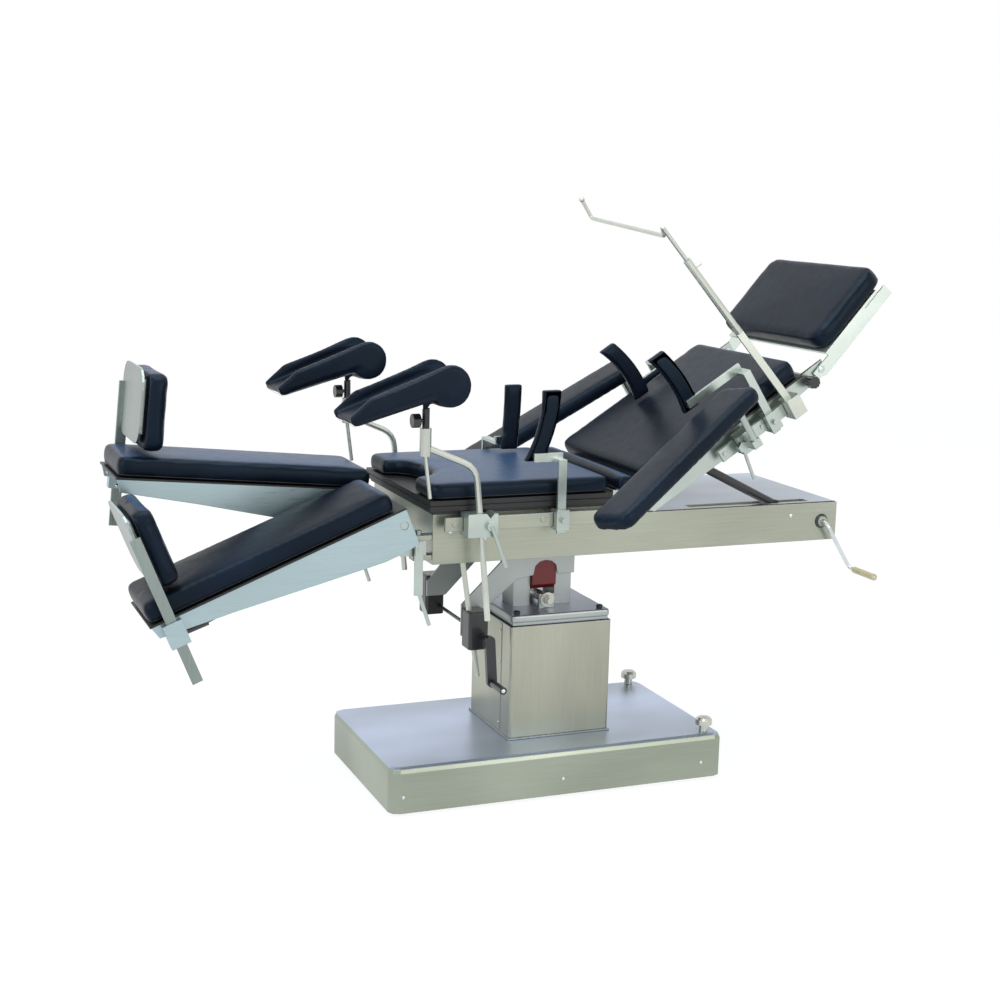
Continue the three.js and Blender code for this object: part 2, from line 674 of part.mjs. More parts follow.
const farOutline = [
  [yoke.centreX + farPlate.bodyHalf, pitchZ + farPlate.bodyHalf],
  [yoke.centreX - farPlate.bodyHalf, pitchZ + farPlate.bodyHalf],
  [yoke.centreX - farPlate.waistReach, pitchZ - farPlate.waistDrop],
  [yoke.centreX - cradle.tipReach, rollZ - cradle.tipTop],
  [yoke.centreX - cradle.tipReach, rollZ - farPlate.bottomDrop],
  [yoke.centreX - cradle.tipReach + cradle.tipWidth, rollZ - farPlate.bottomDrop],
  [yoke.centreX + farPlate.bodyHalf, pitchZ - farPlate.bodyHalf],
];
const tubeEnd = beamHalf - beam.wall - fit.gap;
const crossShaftHole = bar(
  [crankX, -plateEnd - fit.overrun, crankZ], [crankX, farPlateEnd + fit.overrun, crankZ],
  crank.shaftRadius + fit.pin,
);
const cradleSolid = cut(
  join(
    plate(armOutline, -plateEnd, -cradle.plateStart),
    plate(rearOutline, cradle.plateStart, plateEnd),
    plate(farOutline, farPlateStart, farPlateEnd),
    bar([yoke.centreX, -tubeEnd, pitchZ], [yoke.centreX, tubeEnd, pitchZ], cradle.tubeRadius, 16),
  ),
  crossShaftHole,
);
add('tilt_cradle', cradleSolid, paleSteel);

// Red worm sector with the roll pin through the yoke
const sectorHalf = windowHalf - sector.endGap;
const sectorSide = cradle.plateStart - sector.sideGap;
const arcSteps = 12;
const sectorArc = Array.from({ length: arcSteps + 1 }, (_, step) => {
  const limit = Math.asin(sectorSide / sector.radius);
  const angle = -Math.PI / 2 - limit + step / arcSteps * 2 * limit;
  return [sector.radius * Math.cos(angle), rollZ + sector.radius * Math.sin(angle)];
});
const sectorOutline = [
  ...sectorArc, [sectorSide, rollZ + sector.blockRise], [-sectorSide, rollZ + sector.blockRise],
];
const sectorBody = new THREE.ExtrudeGeometry(
  outlineShape(sectorOutline), { depth: 2 * sectorHalf, bevelEnabled: false },
)
  .rotateX(Math.PI / 2).rotateZ(Math.PI / 2).translate(yoke.centreX - sectorHalf, 0, 0);
const rollPin = bar(
  [yoke.centreX - yokeOuter - fit.overrun, 0, rollZ], [yoke.centreX + yokeOuter + fit.overrun, 0, rollZ],
  yoke.pinRadius, 16,
);
add('tilt_sector', join(sectorBody, rollPin), red);

// Gearboxes on the near arm and on the far plate
const boxLeft = yoke.centreX - cradle.tipReach;
const boxRight = boxLeft + cradle.tipWidth;
const boxBottom = rollZ - gearbox.bottomDrop;
const boxTop = boxBottom + gearbox.height;
const boxBack = -plateEnd - fit.gap;
const boxFront = boxBack - gearbox.depth;
const screwSlope = Math.tan(radians(screw.leanAngle));
const screwAt = (z) => [yoke.centreX - screw.reach - (z - crankZ) * screwSlope, -screw.offsetY, z];
const screwBore = bar(
  screwAt(boxBottom - fit.overrun), screwAt(boxTop + fit.overrun), screw.radius + fit.gap,
);
const shaftBore = bar(
  [crankX, boxFront - fit.overrun, crankZ], [crankX, boxBack + fit.overrun, crankZ],
  crank.shaftRadius + fit.pin,
);
const nearBox = softBlock([boxLeft, boxFront, boxBottom], [boxRight, boxBack, boxTop], gearbox.edge);
add('gearbox_near', cut(nearBox, screwBore, shaftBore), black);
const farBoxFront = farPlateEnd + fit.gap;
const farBoxBack = farBoxFront + gearbox.farDepth;
const farBoxTop = rollZ - cradle.tipTop + farPlate.bodyHalf / 2;
const farBox = softBlock(
  [boxLeft, farBoxFront, farBoxTop - gearbox.farHeight], [boxRight, farBoxBack, farBoxTop], gearbox.edge,
);
const farBore = bar(
  [crankX, farBoxFront - fit.overrun, crankZ], [crankX, farBoxFront + crank.farEnd + fit.overrun, crankZ],
  crank.shaftRadius + fit.pin,
);
add('gearbox_far', cut(farBox, farBore), black);

// Near crank with the shaft that joins both gearboxes
const collarEnd = boxFront - fit.gap - crank.collarLength;
const armBack = boxFront - crank.armStart;
const armFront = armBack - crank.armThickness;
const gripX = crankX + crank.armLean;
const gripZ = crankZ - crank.armLength;
const armHalf = crank.armWidth / 2;
const armSteps = 5;
const armArc = (x, z, start) => Array.from({ length: armSteps + 1 }, (_, step) => {
  const angle = start + step / armSteps * Math.PI;
  return [x + armHalf * Math.cos(angle), z + armHalf * Math.sin(angle)];
});
const crankArm = plate([...armArc(crankX, crankZ, 0), ...armArc(gripX, gripZ, Math.PI)], armFront, armBack);
const gripStart = armFront - fit.gap;
const gripEnd = gripStart - crank.gripLength;
const crankSolid = join(
  bar([crankX, armFront, crankZ], [crankX, farBoxFront + crank.farEnd, crankZ], crank.shaftRadius),
  bar([crankX, boxFront - fit.gap, crankZ], [crankX, collarEnd, crankZ], crank.collarRadius),
  crankArm,
  bar([gripX, armBack, gripZ], [gripX, gripEnd, gripZ], crank.pinRadius),
);
add('crank_left', crankSolid, black);
const leftGrip = cut(
  bar([gripX, gripStart, gripZ], [gripX, gripEnd, gripZ], crank.gripRadius, 14),
  bar(
    [gripX, gripStart + fit.overrun, gripZ], [gripX, gripEnd - fit.overrun, gripZ],
    crank.pinRadius + fit.pin,
  ),
);
add('crank_left_grip', leftGrip, black);

// Lead screw from the near gearbox up into the beam, with an eye block on top
const screwTop = screwAt(beamBottom + screw.rise);
const eyeHalf = screw.eye / 2;
const screwEye = block(screwTop.map((value) => value - eyeHalf), screwTop.map((value) => value + eyeHalf));
add('lead_screw', join(bar(screwAt(boxBottom - screw.tail), screwTop, screw.radius), screwEye), ivory);

// Main beam: a folded channel, open below, stepped down under the back section
const stepX = backPivotX + beam.stepReach;
const profile = (inset, bottom) => [
  [beam.left + inset, bottom],
  [beamRight - inset, bottom],
  [beamRight - inset, backDeck - inset],
  [stepX - inset, backDeck - inset],
  [stepX - inset, seatDeck - inset],
  [beam.left + inset, seatDeck - inset],
];
const lugLeft = swingX - swing.halfWidth - fit.overrun;
const lugUpper = lugBottom + beam.lugHeight + beam.lugGap;
const swingLugs = [-1, 1].flatMap((turn) => [lugBottom, lugUpper].map((z) => {
  const centre = turn * swing.y;
  return block(
    [lugLeft, centre - swing.halfWidth, z],
    [beam.left + beam.wall / 2, centre + swing.halfWidth, z + beam.lugHeight],
  );
}));
const swingBores = [-1, 1].map((turn) => bar(
  [swingX, turn * swing.y, lugBottom - fit.overrun],
  [swingX, turn * swing.y, lugUpper + beam.lugHeight + fit.overrun],
  swing.pinRadius + fit.pin,
));
const lugInner = beamHalf - beam.wall;
const lugOuter = back.plateY - fit.gap;
const backLugs = [-1, 1].map((turn) => block(
  [backPivotX - back.lugHalf, Math.min(turn * lugInner, turn * lugOuter), seatDeck - beam.wall],
  [backPivotX + back.lugHalf, Math.max(turn * lugInner, turn * lugOuter), backPivotZ + back.lugRise],
));
const slotHalf = beam.slotWidth / 2;
const slotCut = block(
  [backPivotX + beam.slotStart, -strut.y - slotHalf, backDeck - beam.wall - fit.overrun],
  [beamRight - beam.slotInset, -strut.y + slotHalf, backDeck + fit.overrun],
);
const postX = (kidneyLeft + kidneyRight) / 2;
const postBores = [-1, 1].map((turn) => bar(
  [postX, turn * kidney.postSpread, backDeck], [postX, turn * kidney.postSpread, seatDeck + fit.overrun],
  kidney.postRadius + fit.pin,
));
const backPinBores = bar(
  [backPivotX, -lugOuter - fit.overrun, backPivotZ], [backPivotX, lugOuter + fit.overrun, backPivotZ],
  back.pinRadius + fit.pin,
);
const crankBoss = bar(
  [rightCrankX, -beamHalf + beam.wall / 2, rightCrankZ],
  [rightCrankX, -beamHalf - rightCrank.bossLength, rightCrankZ],
  rightCrank.bossRadius, 16,
);
const crankBore = bar(
  [rightCrankX, -beamHalf + rightCrank.neck, rightCrankZ],
  [rightCrankX, -beamHalf - rightCrank.bossLength - fit.overrun, rightCrankZ],
  rightCrank.rodRadius + fit.pin,
);
const pitchBearings = [-1, 1].map((turn) => bar(
  [yoke.centreX, turn * (lugInner - farPlate.bearing), pitchZ],
  [yoke.centreX, turn * (lugInner + beam.wall / 2), pitchZ],
  farPlate.bearingRadius, 16,
));
const pitchBore = bar(
  [yoke.centreX, -lugInner, pitchZ], [yoke.centreX, lugInner, pitchZ], cradle.tubeRadius + fit.gap, 16,
);
const beamSolid = cut(
  join(
    cut(
      plate(profile(0, beamBottom), -beamHalf, beamHalf),
      plate(profile(beam.wall, beamBottom - fit.overrun), -beamHalf + beam.wall, beamHalf - beam.wall),
    ),
    ...swingLugs, ...backLugs, ...pitchBearings, crankBoss,
  ),
  pitchBore, slotCut, backPinBores, crankBore, ...swingBores, ...postBores,
);

// Black seat boards and the seat cushion with its perineal cut-out
const footTop = boardBottom + boards.footHeight;
const lowerTop = footTop + boards.thickness;
const seamTop = lowerTop + boards.seam;
const boardBlock = (inset, low, high) => block(
  [boardsLeft + inset, -boards.halfWidth + inset, low],
  [boardsRight - inset, boards.halfWidth - inset, high],
);
const boardsSolid = join(
  boardBlock(boards.footInset, boardBottom, footTop + boards.seam),
  boardBlock(0, footTop, lowerTop),
  boardBlock(boards.seamInset, lowerTop - boards.seam, seamTop + boards.seam),
  boardBlock(0, seamTop, boardTop),
);
add('seat_board', boardsSolid, black);

const cutSteps = 8;
const cutBluntShare = 0.8;
const cutArc = Array.from({ length: cutSteps + 1 }, (_, step) => {
  const angle = Math.PI / 2 - step / cutSteps * Math.PI;
  return [seatLeft + seat.cutDepth * Math.cos(angle) ** cutBluntShare, seat.cutHalf * Math.sin(angle)];
});
const seatCorners = roundedOutline(seatLeft, seatRight, -table.halfWidth, table.halfWidth, seat.corner);
const seatOutline = [
  ...seatCorners.slice(0, seatCorners.length / 2), ...cutArc, ...seatCorners.slice(seatCorners.length / 2),
];
const seatCentre = [(seatLeft + seatRight) / 2 + seat.cutDepth / 2, 0];
add('seat_cushion', cushion(seatOutline, seatCentre, seat.thickness).translate(0, 0, seatBottom), leather);

// Accessory rails beside the seat, on round posts with dome bolts
function accessoryRail(left, right, centreZ, face, mountFace, posts) {
  const railBar = block(
    [left, -face - rail.thickness, centreZ - rail.height / 2],
    [right, -face, centreZ + rail.height / 2],
  );
  const pegs = posts.flatMap((x) => [
    bar([x, -face - rail.thickness / 2, centreZ], [x, -mountFace, centreZ], rail.postRadius),
    bar(
      [x, -face - rail.thickness / 2, centreZ], [x, -face - railDepth, centreZ], rail.boltRadius,
    ),
  ]);
  return join(railBar, ...pegs);
}
const seatPostShares = [0.05, 0.52, 0.94];
const seatPosts = seatPostShares.map((share) => railLeft + (railRight - railLeft) * share);
const seatRail = accessoryRail(
  railLeft, railRight, seatRailZ, railFace, beamHalf - beam.wall / 2, seatPosts,
);
const seatRails = [seatRail, mirror(seatRail)];
add('beam', join(beamSolid, ...seatRails), steel);

// Right crank in the beam's near face; its grip turns on a pin
const bossFace = -beamHalf - rightCrank.bossLength;
const rodY = bossFace - rightCrank.neck;
const crankFoot = [rightCrankX + rightCrank.dropX, rodY, rightCrankZ - rightCrank.dropZ];
const rightRod = join(
  bentBar(
    [
      [rightCrankX, bossFace + rightCrank.bossLength, rightCrankZ], [rightCrankX, rodY, rightCrankZ],
      crankFoot, [crankFoot[0], rodY - rightCrank.bend - fit.overrun, crankFoot[2]],
    ],
    rightCrank.rodRadius, rightCrank.neck,
  ),
  bar(
    [crankFoot[0], rodY - rightCrank.bend, crankFoot[2]],
    [crankFoot[0], rodY - rightCrank.bend - rightCrank.gripLength, crankFoot[2]],
    rightCrank.pinRadius,
  ),
);
add('crank_right', rightRod, chrome);
const rightGripStart = rodY - rightCrank.bend - fit.overrun - fit.gap;
const rightGripEnd = rodY - rightCrank.bend - rightCrank.gripLength;
const [footX, , footZ] = crankFoot;
const rightGrip = cut(
  bar([footX, rightGripStart, footZ], [footX, rightGripEnd, footZ], rightCrank.gripRadius, 14),
  bar(
    [footX, rightGripStart + fit.overrun, footZ], [footX, rightGripEnd - fit.overrun, footZ],
    rightCrank.pinRadius + fit.pin,
  ),
);
add('crank_right_grip', rightGrip, ivory);

// Lumbar bridge: a lift plate on two posts through the deck, with its own narrow pad
const liftTop = boardTop;
const liftBottom = liftTop - kidney.plateHeight;
const liftPosts = [-1, 1].map((turn) => bar(
  [postX, turn * kidney.postSpread, liftTop - kidney.postLength],
  [postX, turn * kidney.postSpread, liftTop - fit.gap],
  kidney.postRadius,
));
const liftPlate = block(
  [kidneyLeft + fit.gap, -boards.halfWidth + kidney.plateInset, liftBottom],
  [kidneyRight - fit.gap, boards.halfWidth - kidney.plateInset, liftTop],
);
add('kidney_lift', join(liftPlate, ...liftPosts), paleSteel);
const kidneyOutline = roundedOutline(
  kidneyLeft, kidneyRight, -table.halfWidth, table.halfWidth, kidney.corner,
);
const kidneyPad = cushion(kidneyOutline, [postX, 0], seat.thickness);
add('kidney_pad', kidneyPad.translate(0, 0, seatBottom), leather);

// Back section, built flat about its cross pin
const backFrame = sectionFrame(backPivotX, backPivotZ, back.angle);
const backCentre = [backEnd / 2, 0];
const backOutline = roundedOutline(back.start, backEnd, -table.halfWidth, table.halfWidth, back.corner);
add('back_cushion', cushion(backOutline, backCentre, table.cushion), leather, backFrame);

const backPlateOuter = back.plateY + back.plate;
const backPlatePoints = [
  [-back.plateTail, -back.plateTail],
  [back.plateTail, -back.plateDrop],
  [backEnd - back.taper, -back.plateDrop],
  [backEnd + back.plateReach, -back.plateEndDrop],
  [backEnd + back.plateReach, -fit.gap - back.boardHeight / 2],
  [back.plateTail, -fit.gap - back.boardHeight / 2],
  [-back.plateTail + back.pinRadius, back.pinRadius],
  [-back.plateTail, 0],
];
const backBoard = block(
  [back.start, -boards.halfWidth, -fit.gap - back.boardHeight],
  [backEnd, boards.halfWidth, -fit.gap],
);
const crossBars = [back.crossStart, backEnd + back.crossReach].map((x) => bar(
  [x, -back.plateY - fit.gap, -back.crossRadius - back.boardHeight],
  [x, back.plateY + fit.gap, -back.crossRadius - back.boardHeight],
  back.crossRadius,
));
const backRailFace = back.railY;
const backRailSpan = backRailEnd - backRailStart;
const backPosts = seatPostShares.map((share) => backRailStart + backRailSpan * share);
const backRail = accessoryRail(
  backRailStart, backRailEnd, -back.railDrop, backRailFace, backPlateOuter - back.plate / 2, backPosts,
);
const pivotPins = [-1, 1].map((turn) => bar(
  [0, turn * (lugInner + fit.overrun), 0], [0, turn * (back.plateY + fit.gap), 0], back.pinRadius,
));
const strutPin = bar(
  [strut.mountX, -back.plateY - fit.gap, -strut.mountDrop],
  [strut.mountX, -strut.y + strut.eyeRadius, -strut.mountDrop],
  strut.pinRadius,
);
const headPinHoles = bar(
  [headX, -backPlateOuter - fit.overrun, -head.mountDrop],
  [headX, backPlateOuter + fit.overrun, -head.mountDrop],
  head.pinRadius + fit.pin,
);
const knobHole = bar(
  [headKnobX, -backPlateOuter - fit.overrun, -headKnob.drop],
  [headKnobX, -back.plateY + fit.overrun, -headKnob.drop],
  headKnob.stemRadius + fit.pin,
);
const backSolid = cut(
  join(
    plate(backPlatePoints, -backPlateOuter, -back.plateY),
    plate(backPlatePoints, back.plateY, backPlateOuter),
    backBoard, ...crossBars, backRail, mirror(backRail), ...pivotPins, strutPin,
  ),
  headPinHoles, knobHole,
);
add('back_frame', backSolid, paleSteel, backFrame);

// Strut of constant length from the back frame to the slot in the deck
const strutTurn = radians(back.angle + strut.angle);
const strutFoot = [
  strut.mountX + strut.length * Math.cos(strutTurn), -strut.y,
  -strut.mountDrop - strut.length * Math.sin(strutTurn),
];
const strutHead = [strut.mountX, -strut.y, -strut.mountDrop];
const strutEye = ([x, , z], half, radius) => bar(
  [x, -strut.y - half, z], [x, -strut.y + half, z], radius, 14,
);
const strutSolid = cut(
  join(
    bar(strutHead, strutFoot, strut.radius, 14),
    strutEye(strutHead, strut.radius, strut.eyeRadius),
    strutEye(strutFoot, strut.radius, strut.footRadius),
  ),
  strutEye(strutHead, strut.eyeRadius, strut.pinRadius + fit.pin),
);
add('back_strut', strutSolid, black, backFrame);

// Head section, built flat about the pins at the back frame's upper end
const headPlace = new THREE.Vector3(headX, 0, -head.mountDrop).applyMatrix4(backFrame);
const headFrame = sectionFrame(headPlace.x, headPlace.z, head.angle);
const headOutline = roundedOutline(
  head.start, head.start + head.length, -table.halfWidth, table.halfWidth, head.corner,
);
const headPad = cushion(headOutline, [head.start + head.length / 2, 0], table.cushion);
headPad.translate(0, 0, head.lift + fit.gap);
add('head_cushion', headPad, leather, headFrame);
const headArmPoints = [
  [-head.armDrop, -head.armRise], [0, -head.armDrop], [head.armLength, -head.armDrop],
  [head.armLength, head.armRise], [0, head.armRise], [-head.armDrop, head.armRise],
];
const headArms = [-1, 1].map((turn) => plate(
  headArmPoints,
  Math.min(turn * head.armY, turn * (head.armY + head.arm)),
  Math.max(turn * head.armY, turn * (head.armY + head.arm)),
));
const headBoard = block(
  [head.start, -head.armY - head.arm, head.lift - head.boardHeight],
  [head.start + head.length - head.corner, head.armY + head.arm, head.lift],
);
const headWebs = [-1, 1].map((turn) => block(
  [head.start, Math.min(turn * head.armY, turn * (head.armY + head.arm)), 0],
  [head.crossX + head.armLength / 2, Math.max(turn * head.armY, turn * (head.armY + head.arm)), head.lift],
));
const headPins = [-1, 1].map((turn) => bar(
  [0, turn * (back.plateY - fit.overrun), 0], [0, turn * (head.armY + fit.gap), 0], head.pinRadius,
));
add('head_frame', join(...headArms, headBoard, ...headWebs, ...headPins), paleSteel, headFrame);

// Ribbed lock knob beside the head joint
const ribs = 10;
const knobBack = -backPlateOuter - fit.gap;
const ribPoints = Array.from({ length: ribs * 2 }, (_, step) => {
  const radius = step % 2 ? headKnob.radius - headKnob.ribDepth : headKnob.radius;
  const angle = step / ribs * Math.PI;
  return [headKnobX + radius * Math.cos(angle), -headKnob.drop + radius * Math.sin(angle)];
});
const lockKnob = join(
  bar(
    [headKnobX, -back.plateY, -headKnob.drop], [headKnobX, knobBack - headKnob.stemLength, -headKnob.drop],
    headKnob.stemRadius,
  ),
  plate(ribPoints, knobBack - headKnob.stemLength - headKnob.length, knobBack - headKnob.stemLength),
);
add('head_lock_knob', lockKnob, black, backFrame);

// Leg sections: the same pieces on both sides, at their own angles
const legSides = [
  { name: 'near', tilt: leg.nearAngle, place: (solid) => solid },
  { name: 'far', tilt: leg.farAngle, place: mirror },
];
const legOuter = table.halfWidth;
const trayOuter = legOuter - fit.overrun;
const trayInner = leg.inner + leg.plate;
const pinStart = -trayOuter + leg.pinInset / 2;

function legTray() {
  const sidePoints = [
    [leg.heelTail, leg.boardTop - leg.boardHeight / 2],
    [-legToeX - leg.heelTail / 2, leg.boardTop - leg.boardHeight / 2],
    [-legToeX, leg.toeRise],
    [-legFarX, -leg.farDrop],
    [-leg.midX, -leg.midDrop],
    [-leg.deepX, -leg.deepDrop],
    [-leg.heelTail, -leg.deepDrop],
    [leg.heelTail, -leg.heelDrop],
  ];
  const board = block(
    [-leg.length, -legOuter, leg.boardTop - leg.boardHeight], [leg.heelTail, -leg.inner, leg.boardTop],
  );
  const outerPlate = plate(sidePoints, -trayOuter, -trayOuter + leg.plate);
  const innerPlate = plate(sidePoints, -trayInner, -leg.inner);
  const leverLug = block(
    [-leverX - lever.lugHalf, -lever.y + lever.rodRadius + fit.gap, -lever.drop - lever.lugHalf],
    [
      -leverX + lever.lugHalf, -lever.y + lever.rodRadius + fit.gap + lever.lug,
      leg.boardTop - leg.boardHeight / 2,
    ],
  );
  const leverPin = bar(
    [-leverX, -lever.y - lever.rodRadius, -lever.drop],
    [-leverX, -lever.y + lever.rodRadius + lever.lug, -lever.drop],
    lever.pinRadius,
  );
  const springLug = block(
    [-spring.x - spring.lug, -spring.y + spring.rodRadius + fit.gap, spring.rise - spring.lug],
    [-spring.x + spring.lug, -spring.y + spring.radius + spring.lug, leg.boardTop - leg.boardHeight / 2],
  );
  const springPin = bar(
    [-spring.x, -spring.y - spring.rodRadius, spring.rise],
    [-spring.x, -spring.y + spring.radius, spring.rise],
    lever.pinRadius,
  );
  const postCentre = -footboardX - footboard.thickness - footboard.plateGap - footboard.plate / 2;
  const clampBody = block(
    [
      postCentre - footboard.clampHalf,
      -footboard.postY - footboard.postThickness / 2 - footboard.clampProud,
      -footboard.clampBottom,
    ],
    [postCentre + footboard.clampHalf, -trayOuter + leg.plate / 2, footboard.clampTop],
  );
  const clampSlot = block(
    [
      postCentre - footboard.postWidth / 2 - fit.gap,
      -footboard.postY - footboard.postThickness / 2 - fit.gap,
      -footboard.clampBottom - fit.overrun,
    ],
    [
      postCentre + footboard.postWidth / 2 + fit.gap,
      -footboard.postY + footboard.postThickness / 2 + fit.gap,
      footboard.clampTop + fit.overrun,
    ],
  );
  const pinHole = bar([0, -legOuter - fit.overrun, 0], [0, 0, 0], leg.pinRadius + fit.pin, 16);
  const solid = join(board, outerPlate, innerPlate, leverLug, leverPin, springLug, springPin, clampBody);
  return cut(solid, clampSlot, pinHole);
}

// Pin of the gas spring on the bracket, seen from the frame of a leg that hangs down by the tilt
function springEnd(tilt) {
  const angle = radians(spring.angle - tilt);
  return [-spring.reach * Math.cos(angle), -spring.reach * Math.sin(angle)];
}

function legBracket() {
  const lowZ = lugBottom + beam.lugHeight + fit.gap - legPivotZ;
  const highZ = lugUpper - fit.gap - legPivotZ;
  const pinX = swingX - legPivotX;
  const hub = block(
    [pinX - swing.halfWidth, -swing.y - swing.halfWidth, lowZ],
    [pinX + swing.halfWidth, -swing.y + swing.halfWidth, highZ],
  );
  const armPoints = [
    [pinX + swing.halfWidth, lowZ], [pinX + swing.halfWidth, highZ], [pinX - swing.clearance, highZ],
    [pinX - swing.clearance, 0], [swing.headRadius / 2, swing.headRadius],
    [-swing.headRadius / 2, swing.headRadius], [-swing.headRadius, 0], [0, lowZ],
  ];
  const arm = plate(armPoints, -swing.y - swing.armHalf, -swing.y + swing.armHalf);
  const swingPin = bar(
    [pinX, -swing.y, lugBottom - swing.pinTail / 2 - legPivotZ],
    [pinX, -swing.y, lugUpper + beam.lugHeight + swing.pinTail / 2 - legPivotZ],
    swing.pinRadius,
  );
  const crossPin = bar([0, pinStart, 0], [0, -trayInner + leg.pinInset / 2, 0], leg.pinRadius, 16);
  const barTop = highZ;
  const barX = pinX - swing.halfWidth / 2;
  const hanger = block(
    [barX - swing.barWidth / 2, -swing.barY - swing.barThickness / 2, -swing.barDrop],
    [barX + swing.barWidth / 2, -swing.barY + swing.barThickness / 2, barTop],
  );
  const boltZ = (lowZ + highZ) / 2;
  const hangerBolt = bar(
    [barX, -swing.barY - swing.barThickness / 2 - fit.overrun, boltZ], [barX, -swing.y, boltZ],
    swing.barThickness / 2,
  );
  const blade = bar(
    [barX, -swing.barY, swing.barWidth / 2 - swing.barDrop],
    [barX + swing.bladeOut, -swing.barY, -swing.barDrop - swing.bladeDrop],
    swing.bladeRadius,
  );
  const [endX, endZ] = springEnd(0);
  const lugY = -spring.y + spring.ball + fit.gap;
  const springLug = plate(
    [
      [leg.pinRadius / 2, leg.pinRadius], [-leg.pinRadius, leg.pinRadius], [endX - spring.lug, endZ],
      [endX, endZ - spring.lug], [leg.pinRadius, -leg.pinRadius / 2],
    ],
    lugY, lugY + spring.lug,
  );
  return join(hub, arm, swingPin, crossPin, hanger, hangerBolt, blade, springLug);
}

function springAxis(tilt) {
  const [endX, endZ] = springEnd(tilt);
  const from = new THREE.Vector3(-spring.x, -spring.y, spring.rise);
  const to = new THREE.Vector3(endX, -spring.y, endZ);
  const along = to.clone().sub(from).normalize();
  return { from, to, at: (place, distance) => place.clone().addScaledVector(along, distance).toArray() };
}

function gasTube(tilt) {
  const { from, at } = springAxis(tilt);
  const eye = bar(
    [from.x, -spring.y - spring.rodRadius, from.z], [from.x, -spring.y + spring.rodRadius, from.z],
    spring.radius, 14,
  );
  return cut(
    join(eye, bar(at(from, spring.radius - fit.overrun), at(from, spring.tube), spring.radius, 14)),
    bar(
      [from.x, -spring.y - spring.radius, from.z], [from.x, -spring.y + spring.radius, from.z],
      lever.pinRadius + fit.pin,
    ),
    bar(
      at(from, spring.radius * 2), at(from, spring.tube + fit.overrun),
      spring.radius - spring.wall + fit.gap,
    ),
  );
}

function gasRod(tilt) {
  const { to, at } = springAxis(tilt);
  return join(
    bar(at(to, -spring.rod), to.toArray(), spring.rodRadius),
    bar([to.x, -spring.y - spring.ball, to.z], [to.x, -spring.y + spring.ball, to.z], spring.ball),
  );
}

function releaseLever() {
  const rodEnd = -leverX - lever.rodLength;
  const hub = bar(
    [-leverX, -lever.y - lever.rodRadius, -lever.drop],
    [-leverX, -lever.y + lever.rodRadius, -lever.drop],
    lever.hubRadius,
  );
  return cut(
    join(
      hub,
      bar(
        [-leverX, -lever.y, -lever.drop], [rodEnd - fit.overrun, -lever.y, -lever.drop - lever.rodRadius],
        lever.rodRadius,
      ),
      bar(
        [rodEnd, -lever.y, -lever.drop - lever.rodRadius],
        [rodEnd - lever.gripLength, -lever.y, -lever.drop - lever.rodRadius / 2],
        lever.gripRadius,
      ),
    ),
    bar(
      [-leverX, -lever.y - lever.rodRadius - fit.overrun, -lever.drop],
      [-leverX, -lever.y + lever.rodRadius + fit.overrun, -lever.drop],
      lever.pinRadius + fit.pin,
    ),
  );
}

function footboardFrame() {
  const near = -footboardX - footboard.thickness - footboard.plateGap;
  const centre = near - footboard.plate / 2;
  const post = block(
    [
      centre - footboard.postWidth / 2, -footboard.postY - footboard.postThickness / 2,
      -footboard.postBottom,
    ],
    [centre + footboard.postWidth / 2, -footboard.postY + footboard.postThickness / 2, footboard.postTop],
  );
  const outline = roundedOutline(
    -footboard.postY - footboard.postThickness / 2, -leg.inner - fit.overrun,
    footboard.plateBottom, footboard.plateTop, footboard.plateCorner,
  );
  const panel = new THREE.ExtrudeGeometry(
    outlineShape(outline), { depth: footboard.plate, bevelEnabled: false },
  )
    .rotateX(Math.PI / 2).rotateZ(Math.PI / 2).translate(near - footboard.plate, 0, 0);
  const backing = block(
    [near - footboard.plate / 2, -legOuter + footboard.corner, footboard.plateBottom + footboard.corner],
    [
      near + footboard.plateGap - fit.gap, -leg.inner - footboard.corner,
      footboard.plateTop - footboard.corner,
    ],
  );
  return join(post, panel, backing);
}

function footboardPad() {
  const top = footboard.bottom + footboard.height;
  const outline = roundedOutline(-top, -footboard.bottom, -legOuter, -leg.inner, footboard.corner);
  const centre = [-(footboard.bottom + top) / 2, -(legOuter + leg.inner) / 2];
  return cushion(outline, centre, footboard.thickness).rotateY(Math.PI / 2)
    .translate(-footboardX - footboard.thickness, 0, 0);
}

for (const legSide of legSides) {
  const frame = sectionFrame(legPivotX, legPivotZ, legSide.tilt);
  const level = sectionFrame(legPivotX, legPivotZ, 0);
  const outline = roundedOutline(-leg.length, 0, -legOuter, -leg.inner, leg.corner);
  const centre = [-leg.length / 2, -(legOuter + leg.inner) / 2];
  const pad = cushion(outline, centre, table.cushion).translate(0, 0, leg.boardTop + fit.gap);
  add(`leg_bracket_${legSide.name}`, legSide.place(legBracket()), paleSteel, level);
  add(`leg_tray_${legSide.name}`, legSide.place(legTray()), steel, frame);
  add(`leg_cushion_${legSide.name}`, legSide.place(pad), leather, frame);
  add(`gas_tube_${legSide.name}`, legSide.place(gasTube(legSide.tilt)), black, frame);
  add(`gas_rod_${legSide.name}`, legSide.place(gasRod(legSide.tilt)), chrome, frame);
  add(`leg_release_lever_${legSide.name}`, legSide.place(releaseLever()), black, frame);
  add(`footboard_frame_${legSide.name}`, legSide.place(footboardFrame()), steel, frame);
  add(`footboard_pad_${legSide.name}`, legSide.place(footboardPad()), leather, frame);
}

// Leg supports: clamp on the seat rail, bent rod through it, gutter pad on top
const rodFace = railFace + support.rodOut;
const rodLean = Math.tan(radians(support.leanAngle));
const rodPoint = (z, shift) => [rodX + shift - (z - seatRailZ) * rodLean, -rodFace, z];

